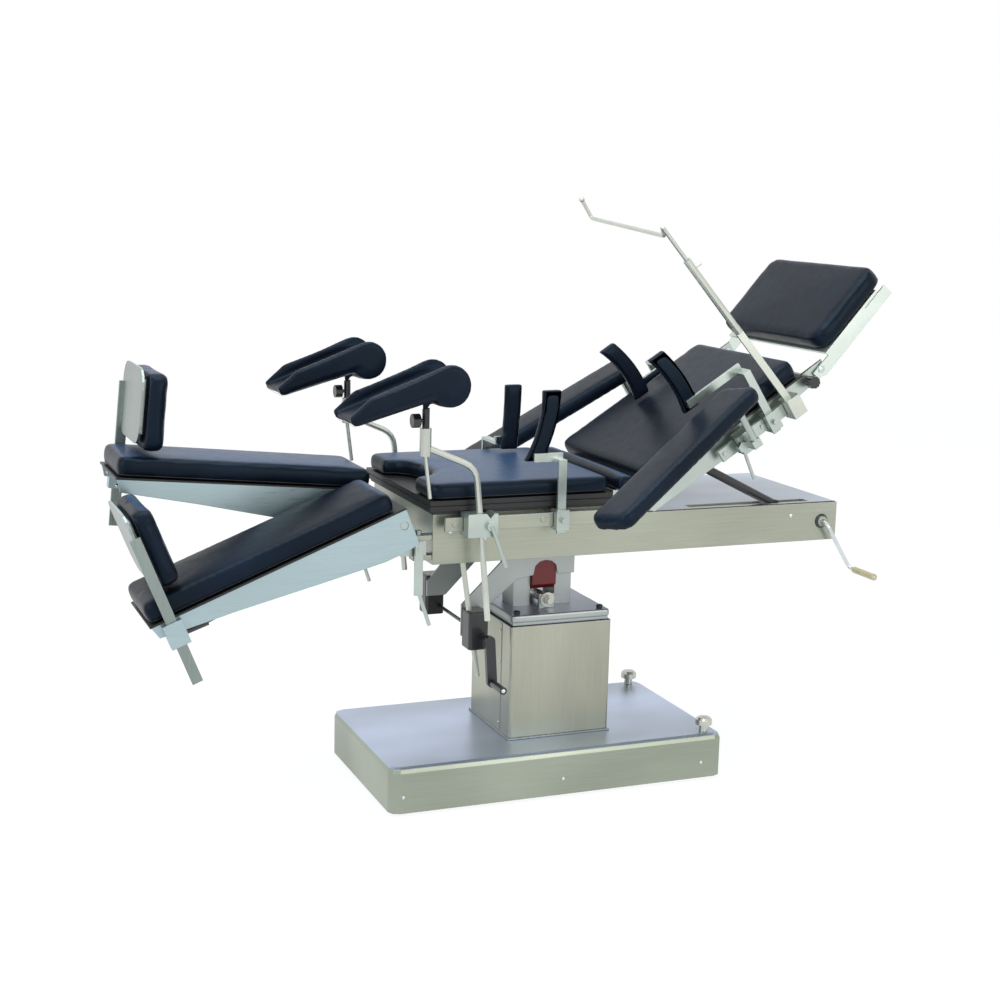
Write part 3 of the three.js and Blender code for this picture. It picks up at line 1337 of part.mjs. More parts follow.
function supportClamp(shift) {
  const centre = rodX + shift;
  const body = block(
    [centre - support.clampLeft, -railFace - support.clampOut, seatRailZ - support.clampDown],
    [centre + support.clampRight, -railFace + rail.thickness, seatRailZ + support.clampUp],
  );
  const channel = block(
    [
      centre - support.clampLeft - fit.overrun, -railFace - railDepth - fit.gap,
      seatRailZ - rail.height / 2 - fit.gap,
    ],
    [
      centre + support.clampRight + fit.overrun, -railFace + rail.thickness + fit.overrun,
      seatRailZ + rail.height / 2 + fit.gap,
    ],
  );
  const top = seatRailZ + support.clampUp;
  const notch = plate(
    [
      [centre + support.clampRight / 2 - support.notch, top + fit.overrun],
      [centre + support.clampRight / 2, top - support.notch],
      [centre + support.clampRight / 2 + support.notch, top + fit.overrun],
    ],
    -railFace - support.clampOut - fit.overrun, -railFace + rail.thickness + fit.overrun,
  );
  const bore = bar(
    rodPoint(seatRailZ - support.clampDown - fit.overrun, shift), rodPoint(top + fit.overrun, shift),
    support.rodRadius + fit.gap,
  );
  const handleX = centre + support.clampRight / 2;
  const handleY = -railFace - support.clampOut - support.handleRadius * 2;
  const handle = join(
    bar(
      [handleX, -railFace - support.clampOut + fit.overrun, seatRailZ], [handleX, handleY, seatRailZ],
      support.notch,
    ),
    bar(
      [handleX, handleY, seatRailZ],
      [handleX + support.clampRight, handleY, seatRailZ - support.handleDrop],
      support.handleRadius,
    ),
  );
  return join(cut(body, channel, notch, bore), handle);
}

function supportRod(shift) {
  const low = rodPoint(seatRailZ - support.below, shift);
  const high = rodPoint(seatRailZ + support.above + support.bend, shift);
  const [jointX, jointY, jointZ] = [
    high[0] - support.bendX, high[1], high[2] + support.bendRise - support.bend,
  ];
  const handleEnd = [
    jointX + support.jointRadius, jointY, jointZ - support.jointBelow - support.handleDrop,
  ];
  return join(
    bentBar([low, high, [jointX, jointY, jointZ]], support.rodRadius, support.bend),
    bar(
      [jointX, jointY, jointZ - support.jointBelow], [jointX, jointY, jointZ + support.jointAbove],
      support.jointRadius,
    ),
    bar([jointX, jointY, jointZ - support.jointBelow + fit.overrun], handleEnd, support.handleRadius),
  );
}

// Points of an arc in the crutch's own frame, whose origin is the centre of the knee lobe
function lobeArc(radius, from, to, steps) {
  return Array.from({ length: steps + 1 }, (_, step) => {
    const angle = radians(from + (to - from) * step / steps);
    return [radius * Math.cos(angle), radius * Math.sin(angle)];
  });
}

// Knee crutch: a trough between two walls, tapered at the foot and rolled over a round lobe at the knee
function supportPad(shift) {
  const high = rodPoint(seatRailZ + support.above + support.bend, shift);
  const x = high[0] - support.bendX;
  const jointTop = high[2] + support.bendRise - support.bend + support.jointAbove;
  const toe = -crutch.length;
  const outline = [
    [toe + crutch.edge, 0], ...lobeArc(crutch.lobeRadius, -180 + crutch.rollStartAngle, 90, 14),
    [toe + crutch.taper, crutch.wallTop], [toe, crutch.toeTop], [toe, crutch.edge],
  ];
  const rollRadius = crutch.lobeRadius - (crutch.wallTop - crutch.floor);
  const trough = [
    [toe - fit.overrun, crutch.floor],
    ...lobeArc(rollRadius, 90 - crutch.rollStartAngle, crutch.rollEndAngle, 6),
    ...lobeArc(crutch.lobeRadius + crutch.wall, crutch.rollEndAngle, 90, 6),
    [toe - fit.overrun, crutch.lobeRadius + crutch.wall],
  ];
  const inner = crutch.halfWidth - crutch.wall;
  const shell = cut(
    softPlate(outline, -crutch.halfWidth, crutch.halfWidth, crutch.edge),
    plate(trough, -inner, inner),
  );
  shell.rotateY(-radians(crutch.angle)).translate(
    x + crutch.lobeForward, -rodFace, jointTop + crutch.lobeRise,
  );
  const slope = Math.tan(radians(crutch.angle));
  const stemTop = jointTop + crutch.lobeRise - crutch.lobeForward * slope + crutch.floor / 2;
  const knobZ = jointTop + crutch.knobNeck;
  return join(
    shell,
    bar([x, -rodFace, jointTop + fit.gap], [x, -rodFace, stemTop], crutch.stemRadius),
    bar([x, -rodFace, knobZ], [x - crutch.knobNeck, -rodFace, knobZ], crutch.neckRadius),
    bar(
      [x - crutch.knobNeck + fit.overrun, -rodFace, knobZ],
      [x - crutch.knobNeck - crutch.knobLength, -rodFace, knobZ], crutch.knobRadius,
    ),
  );
}

[['near', 0, (solid) => solid], ['far', -farSupportShift, mirror]].forEach(([name, shift, place]) => {
  add(`leg_support_clamp_${name}`, place(supportClamp(shift)), paleSteel);
  add(`leg_support_rod_${name}`, place(supportRod(shift)), ivory);
  add(`leg_support_pad_${name}`, place(supportPad(shift)), leather);
});

// Armboards on posts beside the back section
function armboardBracket() {
  const x = armboardX;
  const outer = -backRailFace - rail.thickness - armboard.clampOut;
  const railLow = -back.railDrop - rail.height / 2;
  const railHigh = -back.railDrop + rail.height / 2;
  const body = block(
    [x - armboard.clampHalf, outer, railLow - rail.thickness],
    [x + armboard.clampHalf, -backRailFace + rail.thickness / 2, railHigh + rail.thickness],
  );
  const channel = block(
    [x - armboard.clampHalf - fit.overrun, -backRailFace - railDepth - fit.gap, railLow - fit.gap],
    [x + armboard.clampHalf + fit.overrun, -backRailFace + rail.thickness, railHigh + fit.gap],
  );
  const postY = -backRailFace - armboard.mountOut;
  const arm = block(
    [x - armboard.clampHalf / 2, postY - armboard.postRadius, -back.railDrop - armboard.armHeight / 2],
    [x + armboard.clampHalf / 2, outer + fit.overrun, -back.railDrop + armboard.armHeight / 2],
  );
  const post = bar(
    [x, postY, -back.railDrop - armboard.armHeight / 2],
    [x, postY, armboard.lift - fit.gap],
    armboard.postRadius,
  );
  const pin = bar(
    [x, postY, armboard.lift - armboard.pinLength], [x, postY, armboard.lift + armboard.pinLength],
    armboard.postRadius / 2,
  );
  const boss = bar(
    [x - armboard.clampHalf, outer + fit.overrun, -back.railDrop],
    [x - armboard.clampHalf, outer - armboard.bossLength, -back.railDrop],
    armboard.bossRadius, 6,
  );
  const handle = bar(
    [x - armboard.clampHalf, outer - armboard.bossLength / 2, -back.railDrop],
    [
      x - armboard.clampHalf - armboard.handleLean, outer - armboard.bossLength / 2,
      -back.railDrop - armboard.handleDrop,
    ],
    armboard.handleRadius,
  );
  return join(cut(body, channel), arm, post, pin, boss, handle);
}

function armboardPad(swingAngle) {
  const half = armboard.width / 2;
  const outline = roundedOutline(
    armboard.inset - armboard.length, armboard.inset, -half, half, armboard.corner,
  );
  const centre = [armboard.inset - armboard.length / 2, 0];
  const pad = cushion(outline, centre, armboard.thickness, table.edge, table.crown / 2);
  pad.translate(0, 0, armboard.lift);
  const board = slab(
    roundedOutline(
      armboard.inset - armboard.length + table.edge, armboard.inset - table.edge,
      -half + table.edge, half - table.edge,
      armboard.corner - table.edge,
    ),
    armboard.lift + fit.gap, armboard.lift + armboard.boardHeight,
  );
  const socket = bar(
    [0, 0, armboard.lift - fit.overrun], [0, 0, armboard.lift + armboard.pinLength + fit.overrun],
    armboard.postRadius / 2 + fit.pin,
  );
  return cut(join(pad, board), socket).rotateZ(radians(swingAngle))
    .translate(armboardX, -backRailFace - armboard.mountOut, 0);
}

const armboardSides = [
  ['near', armboard.nearSwingAngle, (solid) => solid], ['far', armboard.farSwingAngle, mirror],
];
armboardSides.forEach(([name, angle, place]) => {
  add(`armboard_bracket_${name}`, place(armboardBracket()), paleSteel, backFrame);
  add(`armboard_${name}`, place(armboardPad(angle)), leather, backFrame);
});

// Side supports: horn-shaped pad, flat bar over the edge and clamp on the rail, in one adjustable piece
function sideSupport(horn, line) {
  const clampX = line.start + horn.clampReach;
  const padX = line.start + horn.padReach;
  const padLow = line.top + horn.lift;
  const steps = 8;
  const edgeAt = (step, turn) => {
    const share = step / steps;
    const shift = horn.toe * (1 - share) ** 2 + horn.tip * share ** 2;
    return [padX + turn * side.padWidth / 2 - shift, padLow + side.padLength * share];
  };
  const stepList = Array.from({ length: steps + 1 }, (_, step) => step);
  const hornOutline = [
    ...stepList.map((step) => edgeAt(step, 1)), ...stepList.map((step) => edgeAt(steps - step, -1)),
  ];
  const padBack = -horn.padOut - side.padDepth / 2;
  const pad = softPlate(hornOutline, padBack, padBack + side.padDepth, side.edge);
  const barY = -line.face - railDepth - fit.gap;
  const outerY = barY - side.barThickness;
  const armZ = padLow + horn.armRise;
  const barHalf = side.bar / 2;
  const armTop = armZ - barHalf + side.barThickness;
  const armX = edgeAt(horn.armRise / side.padLength * steps, 0)[0];
  const rearArm = block(
    [Math.min(clampX, armX) - barHalf, padBack - side.barThickness, armZ - barHalf],
    [Math.max(clampX, armX) + barHalf, padBack + side.edge, armZ + barHalf],
  );
  const crossArm = block([clampX - barHalf, outerY, armZ - barHalf], [clampX + barHalf, padBack, armTop]);
  const drop = block(
    [clampX - barHalf, outerY, line.railZ - rail.height], [clampX + barHalf, barY, armTop],
  );
  const jawGap = rail.height / 2 + fit.gap;
  const jaw = (z) => block(
    [clampX - side.clampHalf, barY - fit.overrun, z],
    [clampX + side.clampHalf, -line.face + rail.thickness / 2, z + side.barThickness],
  );
  const shoe = block(
    [clampX - side.clampHalf, outerY - side.shoeProud, line.railZ - jawGap - side.barThickness],
    [clampX + side.clampHalf, barY, line.railZ + jawGap + side.barThickness],
  );
  const clampScrew = bar(
    [clampX, outerY, line.railZ], [clampX, outerY - side.clampOut, line.railZ], side.screwRadius,
  );
  return join(
    pad, rearArm, crossArm, drop, shoe, clampScrew,
    jaw(line.railZ + jawGap), jaw(line.railZ - jawGap - side.barThickness),
  );
}

const seatLine = { start: railLeft, face: railFace, railZ: seatRailZ, top: seatTop };
const backLine = { start: backRailStart, face: backRailFace, railZ: -back.railDrop, top: table.cushion };
add('side_support_seat_near', sideSupport(nearSeatHorn, seatLine), leather);
add('side_support_seat_far', mirror(sideSupport(farSeatHorn, seatLine)), leather);
add('side_support_back_near', sideSupport(nearBackHorn, backLine), leather, backFrame);
add('side_support_back_far', mirror(sideSupport(farBackHorn, backLine)), leather, backFrame);

// Anaesthesia screen: post on the near back rail, and a bent rod that telescopes in its sleeve
const postLean = Math.tan(radians(screen.leanAngle));
const screenAt = (z) => [screenX - (z + back.railDrop) * postLean, -screen.barY, z];
const screenOuter = -screen.barY - screen.barThickness / 2;
const screenJaw = (z) => block(
  [screenX - screen.clampHalf, screenOuter, z],
  [screenX + screen.clampHalf, -backRailFace + rail.thickness / 2, z + rail.thickness],
);
const screenJawGap = rail.height / 2 + fit.gap;
const screenShoe = block(
  [
    screenX - screen.clampHalf, screenOuter - screen.clampOut,
    -back.railDrop - screenJawGap - rail.thickness,
  ],
  [
    screenX + screen.clampHalf, -backRailFace - railDepth - fit.gap,
    -back.railDrop + screenJawGap + rail.thickness,
  ],
);
const flatBar = plate(
  [
    [screenAt(-back.railDrop)[0] - screen.barWidth / 2, -back.railDrop],
    [screenAt(-back.railDrop)[0] + screen.barWidth / 2, -back.railDrop],
    [screenAt(screen.barLength)[0] + screen.barWidth / 2, screen.barLength],
    [screenAt(screen.barLength)[0] - screen.barWidth / 2, screen.barLength],
  ],
  -screen.barY - screen.barThickness / 2, -screen.barY + screen.barThickness / 2,
);
const sleeveEnd = screen.sleeveStart + screen.sleeveLength;
const knobPlace = screenAt(sleeveEnd - screen.knobLength);
const screenPost = cut(
  join(
    screenShoe, screenJaw(-back.railDrop + screenJawGap),
    screenJaw(-back.railDrop - screenJawGap - rail.thickness), flatBar,
    bar(screenAt(screen.barLength - screen.barWidth), screenAt(sleeveEnd), screen.sleeveRadius),
    bar(knobPlace, [knobPlace[0] + screen.knobLength, knobPlace[1], knobPlace[2]], screen.knobRadius / 2),
  ),
  bar(screenAt(screen.sleeveStart), screenAt(sleeveEnd + fit.overrun), screen.rodRadius + fit.gap),
);
add('screen_post', screenPost, ivory, backFrame);
// The rod's corner is bent down in a short hook, and its far end rises to a ball.
const [rodTopX, rodTopY, rodTopZ] = screenAt(screen.rodTop);
const hookFoot = [rodTopX, rodTopY + screen.hookOut, rodTopZ - screen.hookDrop];
const spanEnd = [hookFoot[0] + screen.spanReach, hookFoot[1] + screen.span, hookFoot[2] + screen.spanRise];
const tipEnd = [spanEnd[0], spanEnd[1], spanEnd[2] + screen.tip];
const rodRoute = [
  screenAt(screen.sleeveStart + fit.gap), [rodTopX, rodTopY, rodTopZ], hookFoot, spanEnd, tipEnd,
];
const screenRod = join(
  bentBar(rodRoute, screen.rodRadius, screen.bend),
  new THREE.IcosahedronGeometry(screen.ball, 1).translate(...tipEnd),
);
add('screen_rod', screenRod, ivory, backFrame);

export default table3d;
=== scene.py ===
import math

import bmesh
import bpy
from mathutils import Matrix, Vector
from mathutils.bvhtree import BVHTree


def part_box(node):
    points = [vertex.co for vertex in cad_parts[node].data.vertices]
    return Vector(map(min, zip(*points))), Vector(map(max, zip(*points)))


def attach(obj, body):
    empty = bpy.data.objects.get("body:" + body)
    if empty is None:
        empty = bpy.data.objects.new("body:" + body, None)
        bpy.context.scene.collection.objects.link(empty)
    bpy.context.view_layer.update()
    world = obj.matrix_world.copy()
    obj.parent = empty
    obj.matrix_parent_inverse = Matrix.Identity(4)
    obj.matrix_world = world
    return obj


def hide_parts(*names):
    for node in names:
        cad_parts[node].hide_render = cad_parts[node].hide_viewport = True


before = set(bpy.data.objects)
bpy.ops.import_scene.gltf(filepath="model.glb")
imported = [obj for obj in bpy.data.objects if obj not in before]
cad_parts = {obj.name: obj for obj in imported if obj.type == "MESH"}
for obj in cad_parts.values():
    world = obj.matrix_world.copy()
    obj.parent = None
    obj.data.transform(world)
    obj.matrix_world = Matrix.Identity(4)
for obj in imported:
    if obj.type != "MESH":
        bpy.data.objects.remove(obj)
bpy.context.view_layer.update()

# The studio: a pale floor that keeps the table's shadow, a white surround and three soft lamps.
# The floor and the surround show white to the lens and to polished or clear pieces.
# The camera stands where the photograph was taken from, with a long lens and a slight roll.
scene = bpy.context.scene
scene.view_settings.view_transform = "Standard"


class Flow:
    """A value on its way through a finish; arithmetic on it adds Math nodes."""

    def __init__(self, finish, socket):
        self.finish = finish
        self.socket = socket

    def maths(self, operation, *values):
        return self.finish.add("ShaderNodeMath", {"operation": operation}, dict(enumerate(values)))

    def __add__(self, other):
        return self.maths("ADD", self, other)

    def __radd__(self, other):
        return self.maths("ADD", other, self)

    def __sub__(self, other):
        return self.maths("SUBTRACT", self, other)

    def __rsub__(self, other):
        return self.maths("SUBTRACT", other, self)

    def __mul__(self, other):
        return self.maths("MULTIPLY", self, other)

    def __rmul__(self, other):
        return self.maths("MULTIPLY", other, self)

    def either(self, other):
        return self.maths("MAXIMUM", self, other)


class Finish:
    """A material whose nodes are added one at a time behind its main shader."""

    def __init__(self, name, kind="ShaderNodeBsdfPrincipled"):
        self.material = bpy.data.materials.new(name)
        self.material.use_nodes = True
        self.tree = self.material.node_tree
        self.tree.nodes.clear()
        output = self.tree.nodes.new("ShaderNodeOutputMaterial")
        self.shader = self.tree.nodes.new(kind)
        self.tree.links.new(self.shader.outputs[0], output.inputs["Surface"])

    def feed(self, node, sockets):
        for name, value in sockets.items():
            if isinstance(value, Flow):
                self.tree.links.new(value.socket, node.inputs[name])
            else:
                node.inputs[name].default_value = value

    def add(self, kind, settings=None, sockets=None, out=0):
        node = self.tree.nodes.new(kind)
        for name, value in (settings or {}).items():
            setattr(node, name, value)
        self.feed(node, sockets or {})
        return Flow(self, node.outputs[out])

    def blend(self, share, first, second):
        return self.add("ShaderNodeMix", {"data_type": "RGBA"}, {0: share, 6: first, 7: second}, 2)

    def stretched(self, stretch):
        point = self.add("ShaderNodeTexCoord", out="Object")
        return self.add("ShaderNodeMapping", None, {"Vector": point, "Scale": stretch})

    def speckle(self, scale, stretch=(1, 1, 1), detail=3):
        sockets = {"Vector": self.stretched(stretch), "Scale": scale, "Detail": detail}
        return self.add("ShaderNodeTexNoise", None, sockets)

    def between(self, value, low, high):
        return self.add("ShaderNodeMapRange", None, {"Value": value, "From Min": low, "From Max": high})

    def raised(self, height, strength, depth, normal=None):
        sockets = {"Height": height, "Strength": strength, "Distance": depth}
        if normal:
            sockets["Normal"] = normal
        return self.add("ShaderNodeBump", None, sockets)

    def eased(self, radius):
        return self.add("ShaderNodeBevel", {"samples": 4}, {"Radius": radius})


def coloured(red, green, blue):
    """A colour written as the levels from 0 to 255 that it shows on screen."""
    return [((level / 255 + 0.055) / 1.055) ** 2.4 for level in (red, green, blue)] + [1]


seeing_rays = [f"Is {kind} Ray" for kind in ("Camera", "Glossy", "Transmission")]
floor = Finish("studio_floor", "ShaderNodeMixShader")
rays = [floor.add("ShaderNodeLightPath", out=ray) for ray in seeing_rays]
seen = rays[0].either(rays[1]).either(rays[2])
floor_white = 0.84
glow_strength = 1.1
matt = floor.add("ShaderNodeBsdfDiffuse", None, {"Color": coloured(244, 244, 244)})
glow = floor.add("ShaderNodeEmission", None, {"Color": coloured(255, 255, 255), "Strength": glow_strength})
floor.feed(floor.shader, {0: seen * floor_white, 1: matt, 2: glow})
floor_half = 7
floor_mesh = bpy.data.meshes.new("studio_floor")
floor_corners = [(x * floor_half, y * floor_half, 0) for x, y in ((-1, -1), (1, -1), (1, 1), (-1, 1))]
floor_mesh.from_pydata(floor_corners, [], [range(len(floor_corners))])
floor_mesh.materials.append(floor.material)
floor_sheet = bpy.data.objects.new("studio_floor", floor_mesh)
scene.collection.objects.link(floor_sheet)

scene.world = bpy.data.worlds.new("surround")
scene.world.use_nodes = True
sky = scene.world.node_tree
sky.nodes.clear()
sky_mix = sky.nodes.new("ShaderNodeMixShader")
sky_rays = sky.nodes.new("ShaderNodeLightPath")
seen_by = sky_rays.outputs[seeing_rays[0]]
for ray in seeing_rays[1:]:
    larger = sky.nodes.new("ShaderNodeMath")
    larger.operation = "MAXIMUM"
    sky.links.new(seen_by, larger.inputs[0])
    sky.links.new(sky_rays.outputs[ray], larger.inputs[1])
    seen_by = larger.outputs[0]
sky.links.new(seen_by, sky_mix.inputs[0])
daylight, daylight_strength = (0.84, 0.92, 1, 1), 0.55
white, white_strength = (1, 1, 1, 1), 1
surrounds = ((daylight, daylight_strength), (white, white_strength))
for slot, (colour, strength) in enumerate(surrounds, start=1):
    background = sky.nodes.new("ShaderNodeBackground")
    background.inputs["Color"].default_value = colour
    background.inputs["Strength"].default_value = strength
    sky.links.new(background.outputs[0], sky_mix.inputs[slot])
sky.links.new(sky_mix.outputs[0], sky.nodes.new("ShaderNodeOutputWorld").inputs["Surface"])


aim_point = Vector((0, 0, 0.8))


def softbox(name, place, size, power, tint):
    """A soft rectangular lamp that looks at the middle of the table."""
    lamp = bpy.data.lights.new(name, "AREA")
    lamp.shape = "RECTANGLE"
    lamp.size, lamp.size_y = size
    lamp.energy = power
    lamp.color = tint
    holder = bpy.data.objects.new(name, lamp)
    holder.location = place
    aim = aim_point - holder.location
    holder.rotation_euler = aim.to_track_quat("-Z", "Y").to_euler()
    scene.collection.objects.link(holder)


lamps = {
    "overhead_softbox": ((-0.6, -0.4, 4.2), (3.4, 2.6), 90, (0.9, 0.96, 1)),
    "left_softbox": ((-4.2, -2.2, 2.4), (2.4, 2.2), 60, (0.82, 0.91, 1)),
    "front_softbox": ((1.8, -4.6, 1.9), (2.6, 2), 40, (1, 0.97, 0.92)),
}
for lamp_name, lamp_values in lamps.items():
    softbox(lamp_name, *lamp_values)

lens_place = Vector((-1.7688, -4.0167, 1.5599))
azimuth, elevation, roll = (math.radians(angle) for angle in (-22.23, 10.64, 1.41))
backwards = Vector((
    math.sin(azimuth) * math.cos(elevation),
    -math.cos(azimuth) * math.cos(elevation),
    math.sin(elevation),
))
level = Vector((0, 0, 1)).cross(backwards).normalized()
upright = backwards.cross(level)
camera_data = bpy.data.cameras.new("photo_camera")
camera_data.sensor_width = 36
camera_data.lens = 60.25
camera = bpy.data.objects.new("photo_camera", camera_data)
camera_axes = Matrix((
    level * math.cos(roll) + upright * math.sin(roll),
    upright * math.cos(roll) - level * math.sin(roll),
    backwards,
)).transposed()
camera.matrix_world = Matrix.Translation(lens_place) @ camera_axes.to_4x4()
scene.collection.objects.link(camera)
scene.camera = camera

# Floor stand: a folded stainless cover with welded, rounded corners over a heavy black plate.
# The sheet is brushed lengthwise; a cool sky reflection is painted on its top, and its upright faces are
# green-grey.
# Small rivets hold the cover, and two mushroom knobs lower the levelling screws.


def brushed_steel(name, painted_sky, side, roughness, grain, shade=0.5):
    """Steel brushed along the axis that grain squeezes: dulled in long clouds, with a painted sky
    reflection where it faces up.
    """
    scratch_scale, scratch_depth, cloud_scale, corner_radius = 420, 0.0005, 3.2, 0.0025
    dulling, bright_scratch = (0.42, 0.44, 0.4), (0.95, 0.97, 1, 1)
    sky_starts, sky_full, cloud_starts, cloud_full = 0.4, 0.9, 0.34, 0.7
    scratch_share, scratch_relief, scratch_dulls, cloud_dulls = 0.14, 0.08, 0.25, 0.1
    finish = Finish(name)
    scratches = finish.speckle(scratch_scale, grain, 2)
    clouds = finish.speckle(cloud_scale, [(1 + share) / 2 for share in grain], 2)
    normal = finish.add("ShaderNodeTexCoord", out="Normal")
    upward = finish.add("ShaderNodeSeparateXYZ", None, {0: normal}, "Z")
    # Faces that look up are blended towards the painted sky reflection colour.
    sky_painted_tone = finish.blend(finish.between(upward, sky_starts, sky_full), side, painted_sky)
    dulled = [level * tint for level, tint in zip(side, dulling)] + [1]
    shaded = finish.blend(finish.between(clouds, cloud_starts, cloud_full) * shade, sky_painted_tone, dulled)
    finish.feed(finish.shader, {
        "Base Color": finish.blend(scratches * scratch_share, shaded, bright_scratch),
        "Metallic": 0.82,
        "Roughness": (scratches - 0.5) * scratch_dulls + clouds * cloud_dulls + roughness,
        "Normal": finish.raised(scratches, scratch_relief, scratch_depth, finish.eased(corner_radius)),
    })
    return finish.material


def painted(name, colour, roughness, grit_scale=90, metal=0, coat=0, pitting=0.15):
    """An even finish with fine grit, paler where it is worn: paint, plastic, or plated steel."""
    wear_scale, grit_depth, corner_radius, pale_gain, pale_lift = 7, 0.0006, 0.0012, 1.5, 0.01
    wear_starts, wear_full, wear_share, grit_dulls = 0.5, 0.85, 0.5, 0.18
    finish = Finish(name)
    grit = finish.speckle(grit_scale, detail=4)
    wear = finish.speckle(wear_scale, detail=3)
    pale = [min(1, level * pale_gain + pale_lift) for level in colour[:3]] + [1]
    worn = finish.between(wear, wear_starts, wear_full) * wear_share
    finish.feed(finish.shader, {
        "Base Color": finish.blend(worn, colour, pale),
        "Metallic": metal,
        "Roughness": grit * grit_dulls + roughness,
        "Coat Weight": coat,
        "Normal": finish.raised(grit, pitting, grit_depth, finish.eased(corner_radius)),
    })
    return finish.material


def dress(material, *nodes):
    """Gives solids of the frame their finish."""
    for name in nodes:
        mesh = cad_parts[name].data
        mesh.materials.clear()
        mesh.materials.append(material)


# The first colour is a painted cool sky reflection for the tops of the stand and column covers; the second
# is the steel's upright tone.
steel_painted_sky = coloured(190, 204, 230)
steel_side = coloured(158, 166, 148)
panel_steel = brushed_steel("panel_steel", steel_painted_sky, steel_side, roughness=0.3, grain=(0.02, 1, 1))
black_paint = painted("black_cast_paint", coloured(30, 32, 34), roughness=0.42)
chrome = painted("polished_chrome", coloured(206, 212, 214), roughness=0.08, grit_scale=300, metal=1)
plated = painted("plated_steel", coloured(190, 192, 182), roughness=0.2, grit_scale=160, metal=0.9)
dress(panel_steel, "base_cover")
dress(black_paint, "base_chassis")
dress(plated, "levelling_knob_near", "levelling_knob_far")


def mesh_from(name, work):
    """Turns a piece's working geometry into its mesh."""
    mesh = bpy.data.meshes.new(name)
    work.to_mesh(mesh)
    work.free()
    return mesh


def bridged(work, rings):
    """Joins each ring of points to the next one by a band of faces."""
    for low, high in zip(rings, rings[1:]):
        for here in range(len(low)):
            after = (here + 1) % len(low)
            work.faces.new((low[here], low[after], high[after], high[here]))


def make(name, mesh, material, body):
    """Links a new hard piece that rides on a body."""
    mesh.materials.append(material)
    piece = bpy.data.objects.new(name, mesh)
    scene.collection.objects.link(piece)
    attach(piece, body)
    return piece


dome_shares = (0, 0.3, 0.62, 0.88)


def domed_head(work, centre, direction, radius, height, sides=20):
    """Adds a fastener's domed head, standing on a face that looks along a direction."""
    turn = Vector(direction).to_track_quat("Z", "Y")
    rings = []
    for share in dome_shares:
        reach = radius * math.cos(share * math.pi / 2)
        rise = height * math.sin(share * math.pi / 2)
        ring = []
        for side in range(sides):
            angle = side / sides * math.tau
            place = Vector((reach * math.cos(angle), reach * math.sin(angle), rise))
            ring.append(work.verts.new(Vector(centre) + turn @ place))
        rings.append(ring)
    bridged(work, rings)
    work.faces.new(rings[-1])
    work.faces.new(rings[0][::-1])


def fasteners(name, places, direction, radius, height, body, material=None):
    """One piece holding a row of like screw heads, of chrome unless told otherwise."""
    work = bmesh.new()
    for place in places:
        domed_head(work, place, direction, radius, height)
    mesh = mesh_from(name, work)
    mesh.shade_smooth()
    return make(name, mesh, material or chrome, body)


cover_low, cover_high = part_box("base_cover")
cover_size = cover_high - cover_low
rivet_shares, rivet_height_share = (0.035, 0.5, 0.93), 0.36
rivet_gap, rivet_radius, rivet_proud = 0.0002, 0.005, 0.0018
rivet_y = cover_low.y - rivet_gap
rivet_z = cover_low.z + cover_size.z * rivet_height_share
rivets = [(cover_low.x + cover_size.x * share, rivet_y, rivet_z) for share in rivet_shares]
fasteners("base_rivets", rivets, (0, -1, 0), rivet_radius, rivet_proud, "stand")

# Lifting column: a fixed square sleeve on a flange, and a brushed stainless cover that rises with the ram.
# The cover is one folded sheet, closed by a lapped seam and a row of small screws on its left face.


def strip(name, corners, material, body):
    """A thin straight piece spanned by its eight corners."""
    work = bmesh.new()
    bmesh.ops.convex_hull(work, input=[work.verts.new(corner) for corner in corners])
    return make(name, mesh_from(name, work), material, body)


column_side, upright_grain = coloured(170, 171, 152), (1, 1, 0.02)
# The column cover's top gets the same painted sky reflection.
column_steel = brushed_steel(
    "column_steel", steel_painted_sky, column_side, roughness=0.3, grain=upright_grain, shade=0.6,
)
# The sleeve's first colour is a painted sky reflection for its top; the second is its upright tone.
sleeve_painted_sky, sleeve_side = coloured(196, 202, 204), coloured(150, 156, 152)
sleeve_steel = brushed_steel("sleeve_steel", sleeve_painted_sky, sleeve_side, roughness=0.24, grain=(1, 1, 0.05))
dress(column_steel, "column_cover")
dress(sleeve_steel, "column_sleeve")
column_low, column_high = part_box("column_cover")
column_size = column_high - column_low
seam_width, seam_rise, seam_proud, seam_share = 0.016, 0.004, 0.0012, 0.22
seam_y = column_low.y + column_size.y * seam_share
seam_corners = []
for z in (column_low.z + seam_rise, column_high.z - seam_rise):
    for y, proud in ((seam_y, 0), (seam_y, 1), (seam_y + seam_width, 1), (seam_y + seam_width, 0)):
        seam_corners.append((column_low.x - proud * seam_proud, y, z))
strip("column_seam", seam_corners, column_steel, "column")
seam_x, seam_middle = column_low.x - seam_proud, seam_y + seam_width / 2
seam_screw_shares, screw_radius, screw_proud = (0.08, 0.36, 0.64, 0.92), 0.004, 0.002
seam_screws = [(seam_x, seam_middle, column_low.z + column_size.z * share) for share in seam_screw_shares]
fasteners("column_seam_screws", seam_screws, (-1, 0, 0), screw_radius, screw_proud, "column")

